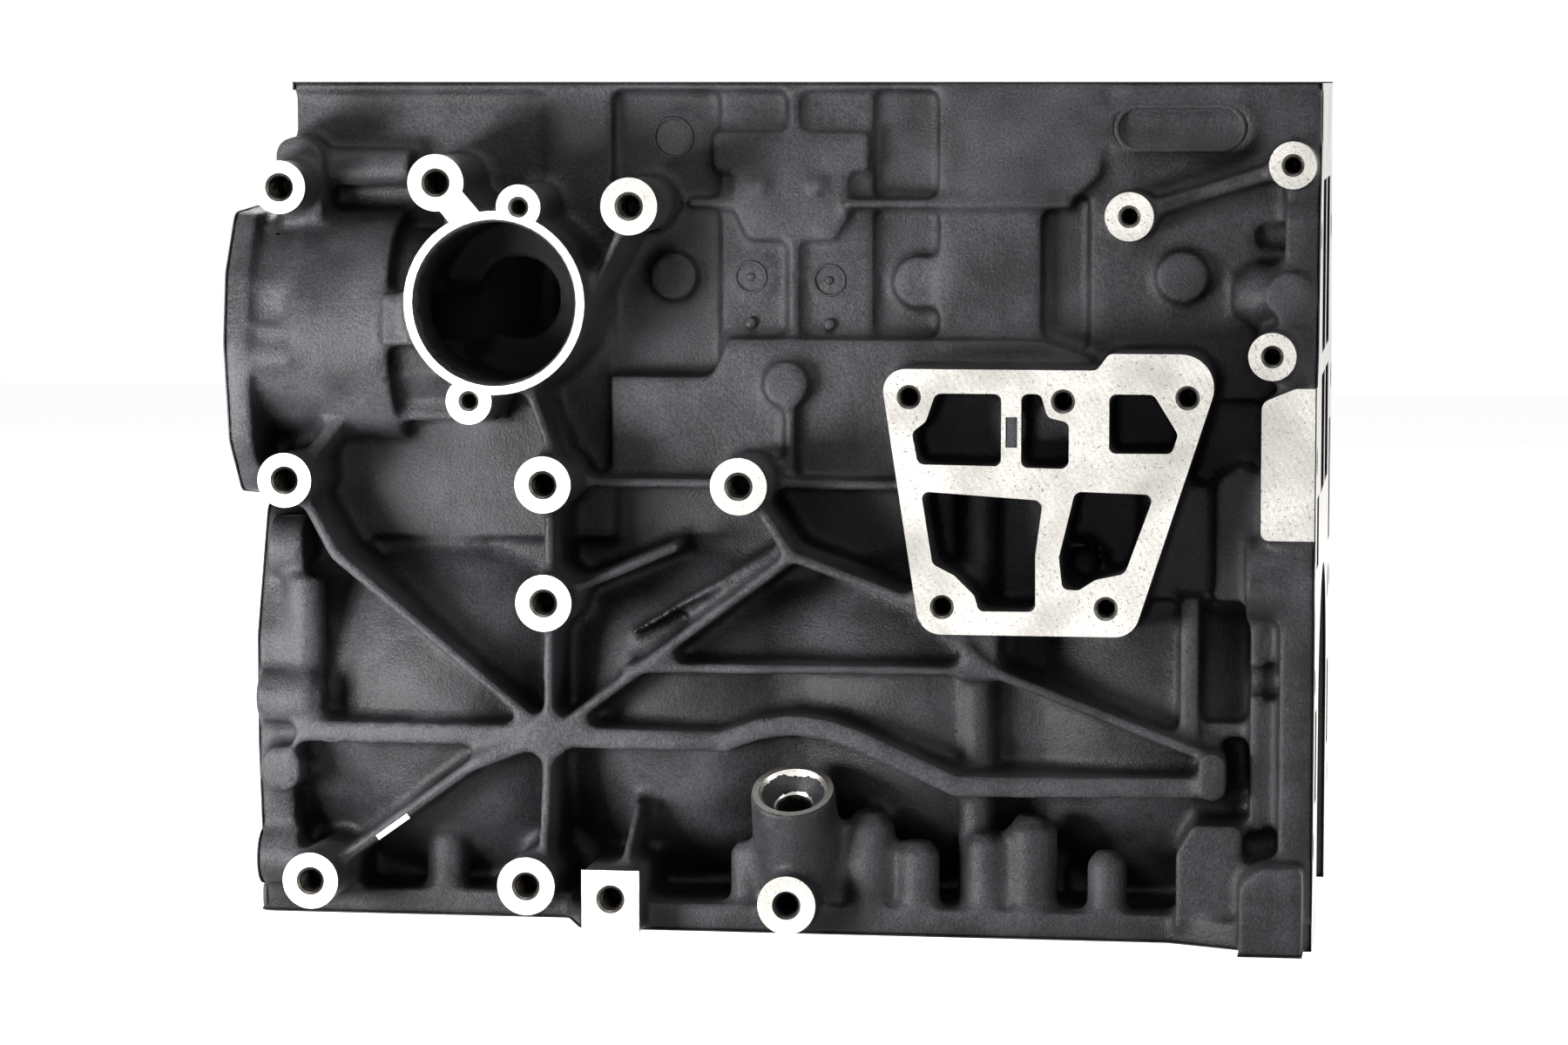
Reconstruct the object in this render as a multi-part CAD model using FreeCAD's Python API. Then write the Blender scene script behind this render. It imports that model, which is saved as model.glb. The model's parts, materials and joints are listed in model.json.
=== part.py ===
"""Four-cylinder inline engine block in grey iron, with its main bearing caps, cap bolts, dowels and plugs.

Frame: millimetres. The origin is on the crankshaft axis at the middle main bearing. +X runs along the crank to the
gearbox end, +Z runs up the cylinders to the head face, and -Y is the accessory side that carries the filter flange.
Depths on the accessory side are given as positive distances out from the crank plane (depth d lies at y = -d).
"""
import FreeCAD, Part
import math
import os

# ---- cylinders and crank -------------------------------------------------------------------------------------
cylinders = 4
bore_d = 81.0
bore_pitch = 88.0
deck_z = 236.0          # head face above the crank axis
pan_z = -76.0           # oil pan face
main_bore_d = 59.0
web_t = 20.0            # thickness of a main bearing web
liner_wall = 5.5
jacket_gap = 8.0
jacket_depth = 95.0
liner_foot_z = 84.0     # lower end of the cylinders
deck_t = 11.0
head_bolt_y = 46.0
head_bolt_d = 12.0
cap_bolt_y = 41.0
cap_bolt_d = 12.0
cap_half = 54.0
cap_h = 44.0
cap_t = 19.0
cap_gap = 0.05          # side clearance of a cap in its register
bolt_gap = 0.2          # radial clearance round a bolt shank in the cap
plug_gap = 0.02         # radial clearance of plugs and threads in their holes

# ---- casting walls -------------------------------------------------------------------------------------------
front_margin = 12.5     # from the first web's middle to the timing end of the head face
rear_margin = 17.5      # from the last web's middle to the gearbox face
nose_step = 11.5        # by which the crankcase stands out at the timing end
wall_d = 64.0           # jacket wall, accessory side, in its recesses
back_d = 68.0           # jacket wall, exhaust side
barrel_z = 4.0          # height of the axis that the crankcase bays bulge round
barrel_r = 88.0         # crankcase bay, outside, at the middle of a bay
waist_r = 79.0          # crankcase between two bays
barrel_wall = 5.5
skirt_half = 58.0       # straight lower skirt, outside
mouth_half = 50.0       # opening towards the oil pan
rail_t = 10.0
rail_left_d = 78.0      # pan rail, accessory side, timing half
rail_mid_d = 100.0      # pan rail, accessory side, where it is wider
rail_right_d = 111.0
rail_back_d = 94.0
lip_t = 3.0
panel_h = 5.0           # height of the raised panels on the jacket wall
belt_d = 77.0           # raised belt below the jacket
rear_flange_t = 13.0
rear_flange_d = 106.0

# ---- accessory side faces ------------------------------------------------------------------------------------
boss_d = 116.0          # all accessory bosses are milled in one plane
boss_r = 10.4
tap_m10 = 8.5
tap_m8 = 6.8
tap_m6 = 5.2
tap_depth = 24.0
upper_boss_d = 104.0
rib_d = 105.0
pad_d = 112.0           # milled pad on the gearbox end
draft = 1.2             # degrees, on bosses and ribs

# ---- filter flange -------------------------------------------------------------------------------------------
filter_from_rear = 98.5 # its middle, from the gearbox face
filter_z = 85.0
filter_d = 112.0
filter_floor_d = 84.0   # floor of the upper pockets
filter_deep_d = 76.0    # floor of the lower pockets

# ---- thermostat and pump housing -----------------------------------------------------------------------------
stat_from_front = 84.7
stat_z = 156.0
stat_bore_d = 58.4
stat_ring_d = 66.8
stat_depth = 50.0
pump_y = -66.0
pump_z = 146.0
pump_r = 43.5
pump_bore_d = 70.0
pump_face_step = 6.0
pump_depth = 30.0

# ---- exhaust side --------------------------------------------------------------------------------------------
core_plug_d = 36.0
core_plug_z = 178.0
gallery_d = 14.0

half_length = cylinders * bore_pitch / 2.0
front_x = -half_length - front_margin   # timing end of the head face
rear_x = half_length + rear_margin      # gearbox face
nose_x = front_x - nose_step            # timing end of the crankcase
stat_x = front_x + stat_from_front
filter_x = rear_x - filter_from_rear
pump_face_x = nose_x - pump_face_step
cyl_x = [(i - (cylinders - 1) / 2.0) * bore_pitch for i in range(cylinders)]
web_x = [(i - cylinders / 2.0) * bore_pitch for i in range(cylinders + 1)]
slope = math.tan(math.radians(draft))
EX = FreeCAD.Vector(1, 0, 0)
EY = FreeCAD.Vector(0, 1, 0)
EZ = FreeCAD.Vector(0, 0, 1)

# Bosses that carry the accessory bracket: x, z, face radius.
accessory_bosses = [
    (front_x + 5.3, 197.7, boss_r - 0.7),
    (stat_x - 21.3, 199.5, boss_r),
    (stat_x + 49.8, 191.2, boss_r),
    (front_x + 6.2, 90.5, boss_r - 0.4),
    (-86.1, 89.9, boss_r),
    (-14.1, 90.1, boss_r),
    (-86.0, 46.6, boss_r),
    (front_x + 14.6, -57.7, boss_r),
    (-93.0, -57.9, boss_r + 0.3),
    (-61.6, -62.0, boss_r + 0.3),
    (3.4, -62.8, boss_r + 0.3),
]
boss_a, boss_b, boss_c, boss_d1, boss_e, boss_f, boss_g, boss_h, boss_i, boss_j, boss_k = accessory_bosses
upper_bosses = [(rear_x - 67.7, 187.8, 8.8), (rear_x - 9.5, 206.3, 8.5), (rear_x - 16.2, 137.9, 8.6)]
star = (-86.7, -4.1)    # where the crankcase ribs meet
stat_lugs = [(stat_x + 9.2, 190.8, 8.2), (stat_x - 9.5, 120.2, 8.5)]

# Half-round columns of the oil pan bolts on the rail: x, radius, top, depth of the axis.
rail_columns = [
    (-131.7, 8.0, -41.5, rail_left_d - 8.5),
    (-14.9, 6.0, -43.3, rail_mid_d - 10.0),
    (30.8, 9.5, -31.0, rail_mid_d - 11.0),
    (49.1, 8.0, -41.3, rail_mid_d - 9.0),
    (73.5, 7.0, -38.0, rail_mid_d - 9.0),
    (90.6, 9.5, -31.4, rail_mid_d - 12.0),
    (118.6, 7.5, -43.6, rail_mid_d - 8.5),
]

# Outline of the filter flange and of its pockets, from its own middle: x, z, corner radius.
filter_outline = [
    (-58.2, 48.0, 8), (20.0, 48.0, 3), (24.5, 54.0, 3), (66.5, 54.0, 12), (33.5, -48.0, 9), (-43.4, -48.0, 9),
]
filter_upper = [
    [(-38, 39.3, 3), (-14.2, 39.3, 2.5), (-14.2, 13.2, 2.5), (-44.3, 13.6, 3), (-46.5, 25.2, 3), (-41.5, 29.0, 4)],
    [(-7.0, 39.4, 2.5), (0.0, 39.4, 2.5), (2.5, 31.0, 3), (10.2, 29.2, 2.5), (10.2, 12.5, 3), (-7.0, 12.8, 2.5)],
    [(24.6, 39.5, 2.5), (40.5, 39.5, 3), (49.3, 25.3, 3), (47.1, 18.3, 2.5), (24.6, 18.2, 2.5)],
]
filter_lower = [
    [(-43.2, 3.9, 2.5), (1.0, 1.0, 3), (-1.7, -19.0, 3), (-1.6, -39.3, 2.5), (-22.1, -39.4, 2.5), (-23.7, -33.7, 3),
     (-31.0, -26.5, 5), (-38.9, -22.5, 3)],
    [(12.5, 4.4, 3), (41.0, 3.6, 2.5), (30.6, -25.1, 4), (20.0, -27.4, 4), (14.0, -31.3, 3), (8.1, -31.0, 2.5),
     (6.8, -19.4, 2)],
]
filter_holes = [(-47.6, 37.9), (8.0, 36.8), (52.6, 38.4), (-35.4, -38.0), (23.8, -37.8)]


# ---- basic shapes --------------------------------------------------------------------------------------------
def vec(x, y, z):
    return FreeCAD.Vector(x, y, z)


def box(x0, x1, y0, y1, z0, z1):
    """A box between two corners."""
    return Part.makeBox(x1 - x0, y1 - y0, z1 - z0, vec(x0, y0, z0))


def slab(x0, x1, d0, d1, z0, z1):
    """A box on the accessory side, between the depths d0 and d1."""
    return box(x0, x1, -d1, -d0, z0, z1)


def rod(start, direction, r, length):
    """A plain cylinder."""
    return Part.makeCylinder(r, length, start, direction)


def cone(start, direction, r0, r1, length):
    """A tapered rod; a plain cylinder where both radii agree."""
    if abs(r0 - r1) < 1e-6:
        return rod(start, direction, r0, length)
    return Part.makeCone(r0, r1, length, start, direction)


def rounded(points, radii):
    """A closed wire through the points, each corner rounded with its own radius."""
    n = len(points)
    ends = []
    edges = []
    for i in range(n):
        p = points[i]
        a = points[i - 1] - p
        b = points[(i + 1) % n] - p
        half = a.getAngle(b) / 2.0
        reach = min(radii[i] / math.tan(half), 0.45 * a.Length, 0.45 * b.Length) if radii[i] > 0 else 0.0
        a.normalize()
        b.normalize()
        start = p + a * reach
        stop = p + b * reach
        ends.append((start, stop))
        if reach > 1e-6:
            r = reach * math.tan(half)
            inward = a + b
            inward.normalize()
            mid = p + inward * (r / math.sin(half) - r)
            edges.append(Part.Arc(start, mid, stop).toShape())
    for i in range(n):
        p = ends[i][1]
        q = ends[(i + 1) % n][0]
        if (q - p).Length > 1e-6:
            edges.append(Part.makeLine(p, q))
    return Part.Wire(Part.__sortEdges__(edges))


def plate(points, d0, d1, x=0.0, z=0.0):
    """An outline in X and Z, moved to (x, z) and extruded outward on the accessory side from depth d0 to d1."""
    wire = rounded([vec(x + p[0], -d0, z + p[1]) for p in points], [p[2] if len(p) > 2 else 0.0 for p in points])
    return Part.Face(wire).extrude(vec(0, d0 - d1, 0))


def profile_x(points, x0, x1, radius=0.0):
    """An outline in Y and Z, extruded along the crank."""
    wire = rounded([vec(x0, y, z) for y, z in points], [radius] * len(points))
    return Part.Face(wire).extrude(vec(x1 - x0, 0, 0))


def rectangle(x0, x1, z0, z1, radius=0.0):
    return [(x0, z0, radius), (x1, z0, radius), (x1, z1, radius), (x0, z1, radius)]


def boss(x, z, r, d0, d1):
    """A round boss on the accessory side, its face at depth d1."""
    return rod(vec(x, -d0, z), -EY, r, d1 - d0)


def rib(p, q, width, root_d, tip_d, end_d=None):
    """A drafted cast rib from p to q (X and Z); its edge stands at depth tip_d, falling to end_d at q."""
    end_d = tip_d if end_d is None else end_d
    length = math.hypot(q[0] - p[0], q[1] - p[1])
    ux = (p[1] - q[1]) / length
    uz = (q[0] - p[0]) / length
    deepest = max(tip_d, end_d)
    corners = []
    for x, z, tip in ((p[0], p[1], tip_d), (q[0], q[1], end_d)):
        for d in (root_d, tip):
            half = width / 2.0 + slope * (deepest - d)
            corners.append(vec(x + ux * half, -d, z + uz * half))
            corners.append(vec(x - ux * half, -d, z - uz * half))
    faces = []
    for loop in ((0, 1, 3, 2), (4, 6, 7, 5), (0, 2, 6, 4), (1, 5, 7, 3), (0, 4, 5, 1), (2, 3, 7, 6)):
        wire = Part.makePolygon([corners[i] for i in loop + loop[:1]])
        faces.append(Part.Face(wire))
    shape = Part.Solid(Part.Shell(faces))
    if shape.Volume < 0:
        shape.reverse()
    return shape


def rib_chain(path, width, root_d, tip_d):
    """Ribs along a path, with a round post at every inner corner."""
    parts = [rib(path[i], path[i + 1], width, root_d, tip_d) for i in range(len(path) - 1)]
    for x, z in path[1:-1]:
        parts.append(boss(x, z, width / 2.0, root_d, tip_d))
    return parts


def tapped(x, z, hole_d, face_d, depth):
    """The drilled and countersunk hole of a boss on the accessory side."""
    r = hole_d / 2.0
    hole = rod(vec(x, -face_d - 1.0, z), EY, r, depth + 1.0)
    tip = cone(vec(x, -face_d + depth, z), EY, r, 0.0, r * 0.6)
    mouth = cone(vec(x, -face_d - 0.1, z), EY, r + 1.1, r, 1.1)
    return [hole, tip, mouth]


def column(x, y, r, z0, z1):
    """An upright round column with a coned top."""
    return [rod(vec(x, y, z0), EZ, r, z1 - 0.6 * r - z0), cone(vec(x, y, z1 - 0.6 * r), EZ, r, 0.55 * r, 0.6 * r)]


def fused(parts):
    """One shape from many."""
    return parts[0].fuse(parts[1:]) if len(parts) > 1 else parts[0]


def mirrored(parts):
    """The same parts on the other side of the crank."""
    return [part.mirror(vec(0, 0, 0), EY) for part in parts]


# ---- crankcase -----------------------------------------------------------------------------------------------
def barrel(inset, x_from, x_to):
    """The bays of the crankcase as one turned body; inset moves its surface inward."""
    low = waist_r - inset
    high = barrel_r - inset
    flat = web_t * 0.3
    last = vec(x_from, 0, barrel_z + low)
    edges = [Part.makeLine(vec(x_from, 0, barrel_z), last)]
    for i, x in enumerate(cyl_x):
        start = vec(web_x[i] + flat, 0, barrel_z + low)
        stop = vec(web_x[i + 1] - flat, 0, barrel_z + low)
        edges.append(Part.makeLine(last, start))
        edges.append(Part.Arc(start, vec(x, 0, barrel_z + high), stop).toShape())
        last = stop
    corner = vec(x_to, 0, barrel_z + low)
    edges.append(Part.makeLine(last, corner))
    edges.append(Part.makeLine(corner, vec(x_to, 0, barrel_z)))
    edges.append(Part.makeLine(vec(x_to, 0, barrel_z), vec(x_from, 0, barrel_z)))
    return Part.Face(Part.Wire(edges)).revolve(vec(0, 0, barrel_z), EX, 360)


def crankcase():
    """Barrel, straight skirt, pan rail and the flanges of both ends."""
    parts = [barrel(0.0, nose_x, rear_x).common(box(nose_x, rear_x, -130, 130, pan_z, 110))]
    parts.append(box(nose_x, rear_x, -skirt_half, skirt_half, pan_z, pan_z + 46))
    for x in web_x:
        parts.append(box(x - 13, x + 13, -skirt_half - 4.5, skirt_half + 4.5, pan_z, pan_z + 36))
    outline = [
        (nose_x - 3, rail_back_d, 8), (nose_x - 3, -rail_left_d, 6), (-84, -rail_left_d, 3), (-76, -rail_mid_d + 1, 5),
        (rear_x - 52.5, -rail_mid_d, 10), (rear_x - 27.5, -rail_right_d, 10), (rear_x, -rail_right_d, 0), (rear_x, rail_back_d, 0),
    ]
    wire = rounded([vec(x, y, pan_z) for x, y, r in outline], [r for x, y, r in outline])
    parts.append(Part.Face(wire).extrude(vec(0, 0, rail_t)))
    nose_half = [(-rail_left_d, pan_z), (-84, -44), (-88, -10), (-88, 30), (-70, 78)]
    parts.append(profile_x(nose_half + [(-y, z) for y, z in reversed(nose_half)], nose_x, nose_x + 13, 6))
    tail = [
        (-rail_right_d, pan_z), (-rear_flange_d, -46), (-rear_flange_d, 40), (-pad_d + 3, 56), (-pad_d + 3, 118),
        (-88, 138), (-80, 190), (-wall_d - 6, 214), (back_d + 4, 214), (80, 188), (96, 130), (104, 70), (104, -30),
        (rail_back_d, pan_z),
    ]
    parts.append(profile_x(tail, rear_x - rear_flange_t, rear_x, 7))
    return parts


def crank_space():
    """What is cut from the crankcase: the bays, the cap registers, both end recesses and the main bore."""
    hollow = barrel(barrel_wall, nose_x, rear_x)
    cuts = []
    for x in cyl_x:
        x0 = x - (bore_pitch - web_t) / 2.0
        x1 = x + (bore_pitch - web_t) / 2.0
        cuts.append(hollow.common(box(x0, x1, -130, 130, -40, 120)))
        cuts.append(hollow.common(box(x0, x1, -mouth_half, mouth_half, pan_z - 40, -39)))
        cuts.append(box(x0, x1, -mouth_half, mouth_half, pan_z - 5, 0))
        liner = rod(vec(x, 0, liner_foot_z), EZ, bore_d / 2.0 + liner_wall, deck_z)
        ceiling = deck_z - deck_t - jacket_depth - 9.0
        cuts.append(box(x0, x1, -wall_d + 7, back_d - 7, 30, ceiling).cut(liner))
    register = cap_half + cap_gap
    cuts.append(box(nose_x - 10, rear_x + 5, -register, register, pan_z - 5, 0))
    cuts.append(rod(vec(nose_x - 10, 0, 0), EX, main_bore_d / 2.0, rear_x - nose_x + 20))
    cuts.append(rod(vec(nose_x - 1, 0, 0), EX, cap_half, web_x[0] - web_t / 2.0 - nose_x + 1))
    cuts.append(rod(vec(web_x[-1] + web_t / 2.0, 0, 0), EX, cap_half, rear_x - web_x[-1]))
    for x in web_x:
        for side in (-1, 1):
            hole = rod(vec(x, side * cap_bolt_y, -1), EZ, cap_bolt_d / 2.0 + plug_gap, 62)
            cuts += [hole, cone(vec(x, side * cap_bolt_y, 61), EZ, cap_bolt_d / 2.0, 0, 3.5)]
    return cuts


# ---- cylinder jacket -----------------------------------------------------------------------------------------
def jacket():
    """The upper block with its head face."""
    return [
        box(front_x, rear_x, -wall_d, back_d, 40, deck_z),
        box(front_x, rear_x, -wall_d - panel_h - 3.0, back_d + 4.0, deck_z - lip_t, deck_z),
    ]


def water_space():
    """The water jacket round the liners, open to the head face, the thermostat pocket and the core holes."""
    inner = bore_d / 2.0 + liner_wall
    outer = inner + jacket_gap
    low = deck_z - deck_t - jacket_depth
    rings = []
    for x in cyl_x:
        rings.append(rod(vec(x, 0, low), EZ, outer, jacket_depth))
        rings.append(box(x - outer * 0.4, x + outer * 0.4, -wall_d + 6, back_d - 7, low, low + jacket_depth))
    liners = [rod(vec(x, 0, low - 1), EZ, inner, jacket_depth + 2) for x in cyl_x]
    cuts = [fused(rings).cut(liners)]
    middle = (inner + outer) / 2.0
    for x in cyl_x:
        for angle in (50, 90, 130, 230, 270, 310):
            a = math.radians(angle)
            cuts.append(rod(vec(x + middle * math.cos(a), middle * math.sin(a), deck_z - deck_t - 2), EZ, 3.0, deck_t + 4))
        cuts.append(rod(vec(x, back_d - 12, core_plug_z), EY, core_plug_d / 2.0, 30))
    return cuts


def deck_holes():
    """Bores, head bolt holes and oil returns in the head face."""
    cuts = []
    for x in cyl_x:
        cuts.append(rod(vec(x, 0, 20), EZ, bore_d / 2.0, deck_z))
        cuts.append(cone(vec(x, 0, deck_z - 0.9), EZ, bore_d / 2.0, bore_d / 2.0 + 1.0, 1.0))
    for x in web_x:
        for side in (-1, 1):
            r = head_bolt_d / 2.0
            cuts.append(rod(vec(x, side * head_bolt_y, deck_z - 90), EZ, r, 100))
            cuts.append(cone(vec(x, side * head_bolt_y, deck_z - 0.9), EZ, r, r + 1.0, 1.0))
    for x in web_x[1:-1]:
        cuts.append(rod(vec(x, 59.0, 50), EZ, 4.5, deck_z))
    return cuts


# ---- accessory side ------------------------------------------------------------------------------------------
def jacket_panels():
    """Raised panels, belt, plates, frames and discs of the jacket wall."""
    w = wall_d
    p = wall_d + panel_h
    top = deck_z - lip_t / 2.0
    parts = [
        slab(front_x + 0.5, -68.0, 50, p, 186, top),
        slab(front_x + 0.5, -68.0, 50, p - 1.5, 66, 187),
        slab(-92.6, -68.0, 50, p + 2, 150, top),
        plate([(-27.5, 128), (29, 128), (29, top), (-27.5, top)], 50, p - 1),
        plate([(53.7, 194.5), (105, 194.5), (112.9, 202), (112.9, top), (53.7, top)], 50, p + 4),
        plate(rectangle(53.7, 91.8, 130, 188.5), 50, p + 2),
        slab(109.2, rear_x - 0.5, 50, p, 120, top),
        slab(112.9, rear_x - 12.5, 50, p + 1.5, 207, top),
        plate([(-68, 90), (110, 90), (110, 136), (91.8, 141.8), (-24, 141.8), (-30, 127.5), (-68, 127.5)], 50, belt_d),
        slab(-39, -22.6, 50, p + 2, 189.7, 193.1),
        slab(19.4, 103, 50, p + 6, 189.7, 193.1),
        rib((0, 92), (0, 233), 3.8, 50, p + 3),
        rib((0, 92), (0, 117), 3.8, 50, belt_d + 5),
        boss(46.0, 162.5, 9.5, 50, p),
        slab(46.0, 53.9, 50, p, 153.5, 171.5),
    ]
    parts.append(plate([(-30.5, 203.5, 2), (-22.5, 203.5, 1), (-22.5, 190, 2), (-17, 178, 2), (15, 178, 2), (20, 186, 2),
                        (20, 203.5, 1), (28, 203.5, 2), (28, 217.4, 2), (-30.5, 217.4, 2)], 50, p + 3))
    for x in (-11.9, 9.1):
        parts.append(cone(vec(x, -p - 2, 198.3), -EY, 4.4, 2.2, 3.5))
    parts.append(boss(-45.4, 164.1, 9.0, 50, w + 6))
    parts.append(boss(143.2, 165.1, 9.6, 50, p + 5))
    parts.append(boss(-1.6, 125.1, 8.6, 50, belt_d + 6))
    # bare oval frame and plain dials
    oval = plate([(114.5, 210.5, 8.9), (169.7, 210.5, 8.9), (169.7, 228.7, 8.9), (114.5, 228.7, 8.9)], 50, p + 4)
    oval = oval.cut(plate([(117.5, 213.5, 6), (166.7, 213.5, 6), (166.7, 225.7, 6), (117.5, 225.7, 6)], p + 1.5, p + 6))
    parts.append(oval)
    for x, z, r, d in ((-15.5, 164.3, 7.6, p), (13.9, 164.5, 7.6, p), (-43.4, 215.8, 8.6, w + 1)):
        ring = rod(vec(x, -d + 2, z), -EY, r, 2.2).cut(rod(vec(x, -d, z), -EY, r - 1.1, 4))
        parts += [ring, rod(vec(x, -d + 2, z), -EY, 1.8, 2.4)]
    return parts


def accessory_faces():
    """Bracket bosses and the upper bosses, with their holes."""
    add = []
    cut = []
    for x, z, r in accessory_bosses:
        add.append(boss(x, z, r, 50 if z > -30 else 62, boss_d))
        cut += tapped(x, z, tap_m10, boss_d, tap_depth)
    x, z, r = boss_j
    add.append(slab(x - r, x + r, 62, boss_d, pan_z + 1, z))
    add.append(slab(x - r, x + r, 62, boss_d, z, z + r))
    for x, z, r in upper_bosses:
        add.append(boss(x, z, r, 50, upper_boss_d))
        cut += tapped(x, z, tap_m8 - 0.6, upper_boss_d, tap_depth)
    # web between the two upper bosses of the gearbox end, and the pedestals of the corner bosses
    f = front_x
    add.append(rib(upper_bosses[0][:2], upper_bosses[1][:2], 5.0, 50, upper_boss_d - 14, upper_boss_d - 10))
    add.append(plate([(f - 2.5, 186, 3), (f + 15.5, 186, 3), (f + 15.5, 210, 6), (f + 8.5, 217, 6), (f - 2.5, 214, 6)], 50, boss_d - 26))
    add.append(rib((boss_d1[0], boss_d1[1]), (front_x + 22.5, 113), 5.0, 50, boss_d - 12, boss_d - 22))
    add.append(rib((boss_c[0], boss_c[1]), (stat_x + 33.8, 160), 3.2, 50, boss_d - 7, boss_d - 12))
    return add, cut


def crankcase_ribs():
    """The rib pattern over the crankcase bays."""
    d = rib_d
    parts = []
    parts += rib_chain([(-92.6, 122), (boss_e[0], 104), (boss_e[0], boss_e[1]), (boss_g[0], boss_g[1]), star,
                        (boss_i[0] + 4, boss_i[1])], 3.9, 40, d)
    parts += rib_chain([(boss_d1[0], boss_d1[1]), (front_x + 21.5, 62), star], 4.2, 40, d - 2)
    parts.append(rib((front_x + 4.5, -4.7), star, 7.7, 40, d - 8, d))
    parts.append(rib(star, (-115.1, -15), 5.0, 40, d))
    parts.append(rib((-115.1, -15), (boss_h[0], boss_h[1]), 4.2, 40, d - 1))
    parts.append(rib(star, (-19.5, -5.0), 7.7, 40, d))
    parts += rib_chain([(-19.5, -4.0), (-8, 0.2), (4.5, 1.8), (17, 0.2), (28.5, -3.5), (64.5, -19.8), (154, -18.5)],
                       7.7, 40, d)
    parts.append(rib(star, (0, 61.0), 4.0, 40, d, d - 2))
    parts.append(rib((-58, 33), (-5, 64), 2.2, 40, d - 9, d - 8))
    parts.append(rib((boss_g[0], boss_g[1]), (-39.7, 65.9), 3.2, 40, boss_d - 6, d - 14))
    parts.append(rib((-59, 21.5), (72, 22.5), 3.6, 40, d - 2))
    parts += rib_chain([(boss_f[0], boss_f[1]), (2.9, 63.9), (49.1, 47.1), (74.5, 23.6), (157, -8.0)], 4.2, 40, d - 1)
    parts.append(boss(star[0], star[1], 8.5, 40, d))
    parts.append(plate(rectangle(152.2, 162.2, -23, -5.5, 4.9), 40, d + 2))
    parts.append(plate([(62, 18, 4), (79, 18, 4), (79, 38, 4), (68, 38, 4)], 40, d - 4))
    parts.append(slab(-81.4, 45.0, 50, belt_d + 10, 86.7, 90.7))
    # dipstick boss, its foot rib and the small rib over the flat-topped boss
    parts.append(rib((4.4, -30), (boss_k[0], boss_k[1]), 3.2, 40, d + 2))
    parts.append(rib((-55.0, -29), (-58.5, -52), 3.0, 40, d - 14, d))
    return parts


def dipstick():
    """The inclined oil boss over the middle of the rail: body and bore."""
    lean = math.radians(60)
    axis = vec(0, -math.cos(lean), math.sin(lean))
    face = vec(4.4, -rib_d - 1.0, -21.8)
    body = cone(face - axis * 46, axis, 17.5, 15.6, 46)
    keep = box(-40, 50, -130, -20, pan_z + 4, 20)
    bore = [
        rod(face - axis * 60, axis, 6.6, 70),
        cone(face - axis * 7, axis, 6.6, 12.6, 7.2),
    ]
    return [body.common(keep)], bore


def timing_end():
    """Bosses and lugs along the timing edge."""
    parts = [
        rod(vec(nose_x + 4, -78, 63), EX, 11.5, 14),
        rod(vec(nose_x + 1.5, -90, 7.5), EX, 9.7, 20),
        cone(vec(nose_x + 21.4, -90, 7.5), EX, 9.7, 5.5, 5.0),
        plate(rectangle(nose_x + 2.5, nose_x + 18.2, -27.5, -10.6, 7), 40, 98),
        rod(vec(nose_x, -82, -54), EX, 10.5, 15),
    ]
    parts += [rod(vec(nose_x + 17, -82, 14), EZ, 8.0, 38)]
    return parts


def gearbox_end():
    """Pads, bosses and columns along the gearbox edge."""
    r = rear_x
    parts = [
        plate([(r - 19.5, 72.5, 3), (r, 72.5), (r, 127), (r - 7.5, 127, 5), (r - 19.5, 122, 4)], 50, pad_d),
        rod(vec(r - 25, -rear_flange_d + 8, 57), EX, 14.5, 25),
        plate([(r - 37, 48, 2), (r - 23.5, 48, 2), (r - 23.5, 100, 6), (r - 37, 92, 6)], 50, 90),
        plate(rectangle(r - 64, r - 36.5, 48, 89.5, 2), 50, 84),
        rib((r - 45.5, 50), (r - 45.5, 0), 7.0, 40, 96),
        slab(r - 42.5, r - 21, 40, 92, -1.5, 4.0),
        slab(r - 23.5, r - 18.5, 40, 98, -50, 44),
        plate([(r - 49.5, -70), (r - 25.5, -70), (r - 25.5, -32, 3), (r - 43.5, -32, 3), (r - 49.5, -42, 3)], 40, 104),
        plate([(r - 26, pan_z, 0), (r - 3, pan_z, 0), (r - 3, -44, 3), (r - 18.5, -44, 6), (r - 26, -50, 6)], 40, 125),
    ]
    # capsule over the gearbox end of the jacket
    parts.append(rod(vec(r - 23.5, -wall_d - 8, 158.8), EX, 11.9, 23))
    parts.append(cone(vec(r - 23.45, -wall_d - 8, 158.8), -EX, 11.9, 6.5, 8.0))
    parts.append(boss(r - 11, 159, 8.6, 60, wall_d + 23.5))
    return parts


def filter_flange():
    """The filter flange: a hollow box standing out from the jacket, with five pockets and five tapped holes."""
    outer = plate(filter_outline, 50, filter_d, filter_x, filter_z)
    cut = []
    for window in filter_upper:
        cut.append(plate(window, filter_floor_d, filter_d + 2, filter_x, filter_z))
    for window in filter_lower:
        cut.append(plate(window, filter_deep_d, filter_d + 2, filter_x, filter_z))
    cut.append(slab(filter_x - 15, filter_x - 6.5, filter_floor_d + 4, filter_d - 10, filter_z + 19, filter_z + 32))
    cut.append(slab(filter_x - 12.6, filter_x - 8.4, filter_d - 12, filter_d + 2, filter_z + 20, filter_z + 31))
    outer = outer.cut(cut)
    inside = [
        rod(vec(69.8, -filter_deep_d - 6, pan_z + 12), EZ, 7.2, filter_z + 10 - pan_z - 12),
        boss(108.6, 60.8, 8.2, 60, 90),
    ]
    holes = []
    for x, z in filter_holes:
        holes += tapped(filter_x + x, filter_z + z, tap_m8, filter_d, tap_depth)
    holes.append(rod(vec(108.6, -95, 60.8), EY, 6.2, 22))
    return [outer] + inside, holes


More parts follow.
